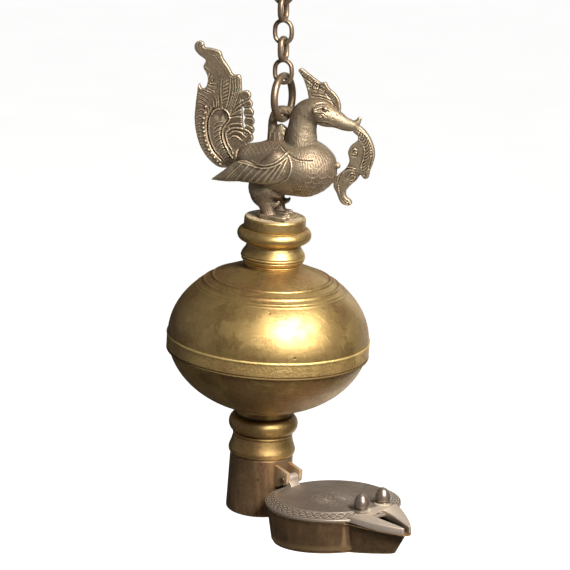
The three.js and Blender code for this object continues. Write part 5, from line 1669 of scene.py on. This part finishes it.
class LAMP_OT_necks(Builder, bpy.types.Operator):
    """Build the plinth and the two turned necks"""
    bl_idname = "lamp.necks"
    bl_label = "Plinth and necks"
    build = staticmethod(make_necks)


class LAMP_OT_reservoir(Builder, bpy.types.Operator):
    """Build the two bowls of the reservoir and their band"""
    bl_idname = "lamp.reservoir"
    bl_label = "Reservoir"
    build = staticmethod(make_reservoir)


class LAMP_OT_cup(Builder, bpy.types.Operator):
    """Build the feed cup, the hinge pin and the feed tube"""
    bl_idname = "lamp.cup"
    bl_label = "Feed cup"
    build = staticmethod(make_cup)


class LAMP_OT_pan(Builder, bpy.types.Operator):
    """Build the heart-shaped lamp pan"""
    bl_idname = "lamp.pan"
    bl_label = "Lamp pan"
    build = staticmethod(make_pan)


class LAMP_OT_lid(Builder, bpy.types.Operator):
    """Build the engraved lid and its two knobs"""
    bl_idname = "lamp.lid"
    bl_label = "Lid and knobs"
    build = staticmethod(make_lid)


class LAMP_OT_stage(Builder, bpy.types.Operator):
    """Set up the camera, the floor and the studio light"""
    bl_idname = "lamp.stage"
    bl_label = "Studio"
    build = staticmethod(make_stage)


OPERATORS = (LAMP_OT_stage, LAMP_OT_chain, LAMP_OT_goose, LAMP_OT_tail, LAMP_OT_head_leaves, LAMP_OT_necks,
             LAMP_OT_reservoir, LAMP_OT_cup, LAMP_OT_pan, LAMP_OT_lid)


class VIEW3D_PT_lamp(bpy.types.Panel):
    """Sizes, colours and build steps of the oil lamp"""
    bl_label = "Oil lamp"
    bl_space_type = "VIEW_3D"
    bl_region_type = "UI"
    bl_category = "Oil lamp"

    def draw(self, context):
        """Lists the sizes, the colours and a button for each piece."""
        for heading, group in (("Sizes", context.scene.lamp_sizes), ("Colours", context.scene.lamp_colours)):
            box = self.layout.box()
            box.label(text=heading)
            for name in group.__annotations__:
                box.prop(group, name)
        column = self.layout.column(align=True)
        for operator in OPERATORS:
            column.operator(operator.bl_idname)


CLASSES = (LampSizes, LampColours, *OPERATORS, VIEW3D_PT_lamp)


def register():
    """Adds the lamp's classes and its properties of the scene."""
    for item in CLASSES:
        bpy.utils.register_class(item)
    bpy.types.Scene.lamp_sizes = PointerProperty(type=LampSizes)
    bpy.types.Scene.lamp_colours = PointerProperty(type=LampColours)


def unregister():
    """Takes them away again."""
    del bpy.types.Scene.lamp_sizes
    del bpy.types.Scene.lamp_colours
    for item in reversed(CLASSES):
        bpy.utils.unregister_class(item)


def main():
    """Builds the whole lamp."""
    register()
    for operator in OPERATORS:
        group, name = operator.bl_idname.split(".")
        getattr(getattr(bpy.ops, group), name)()


if __name__ == "__main__":
    main()
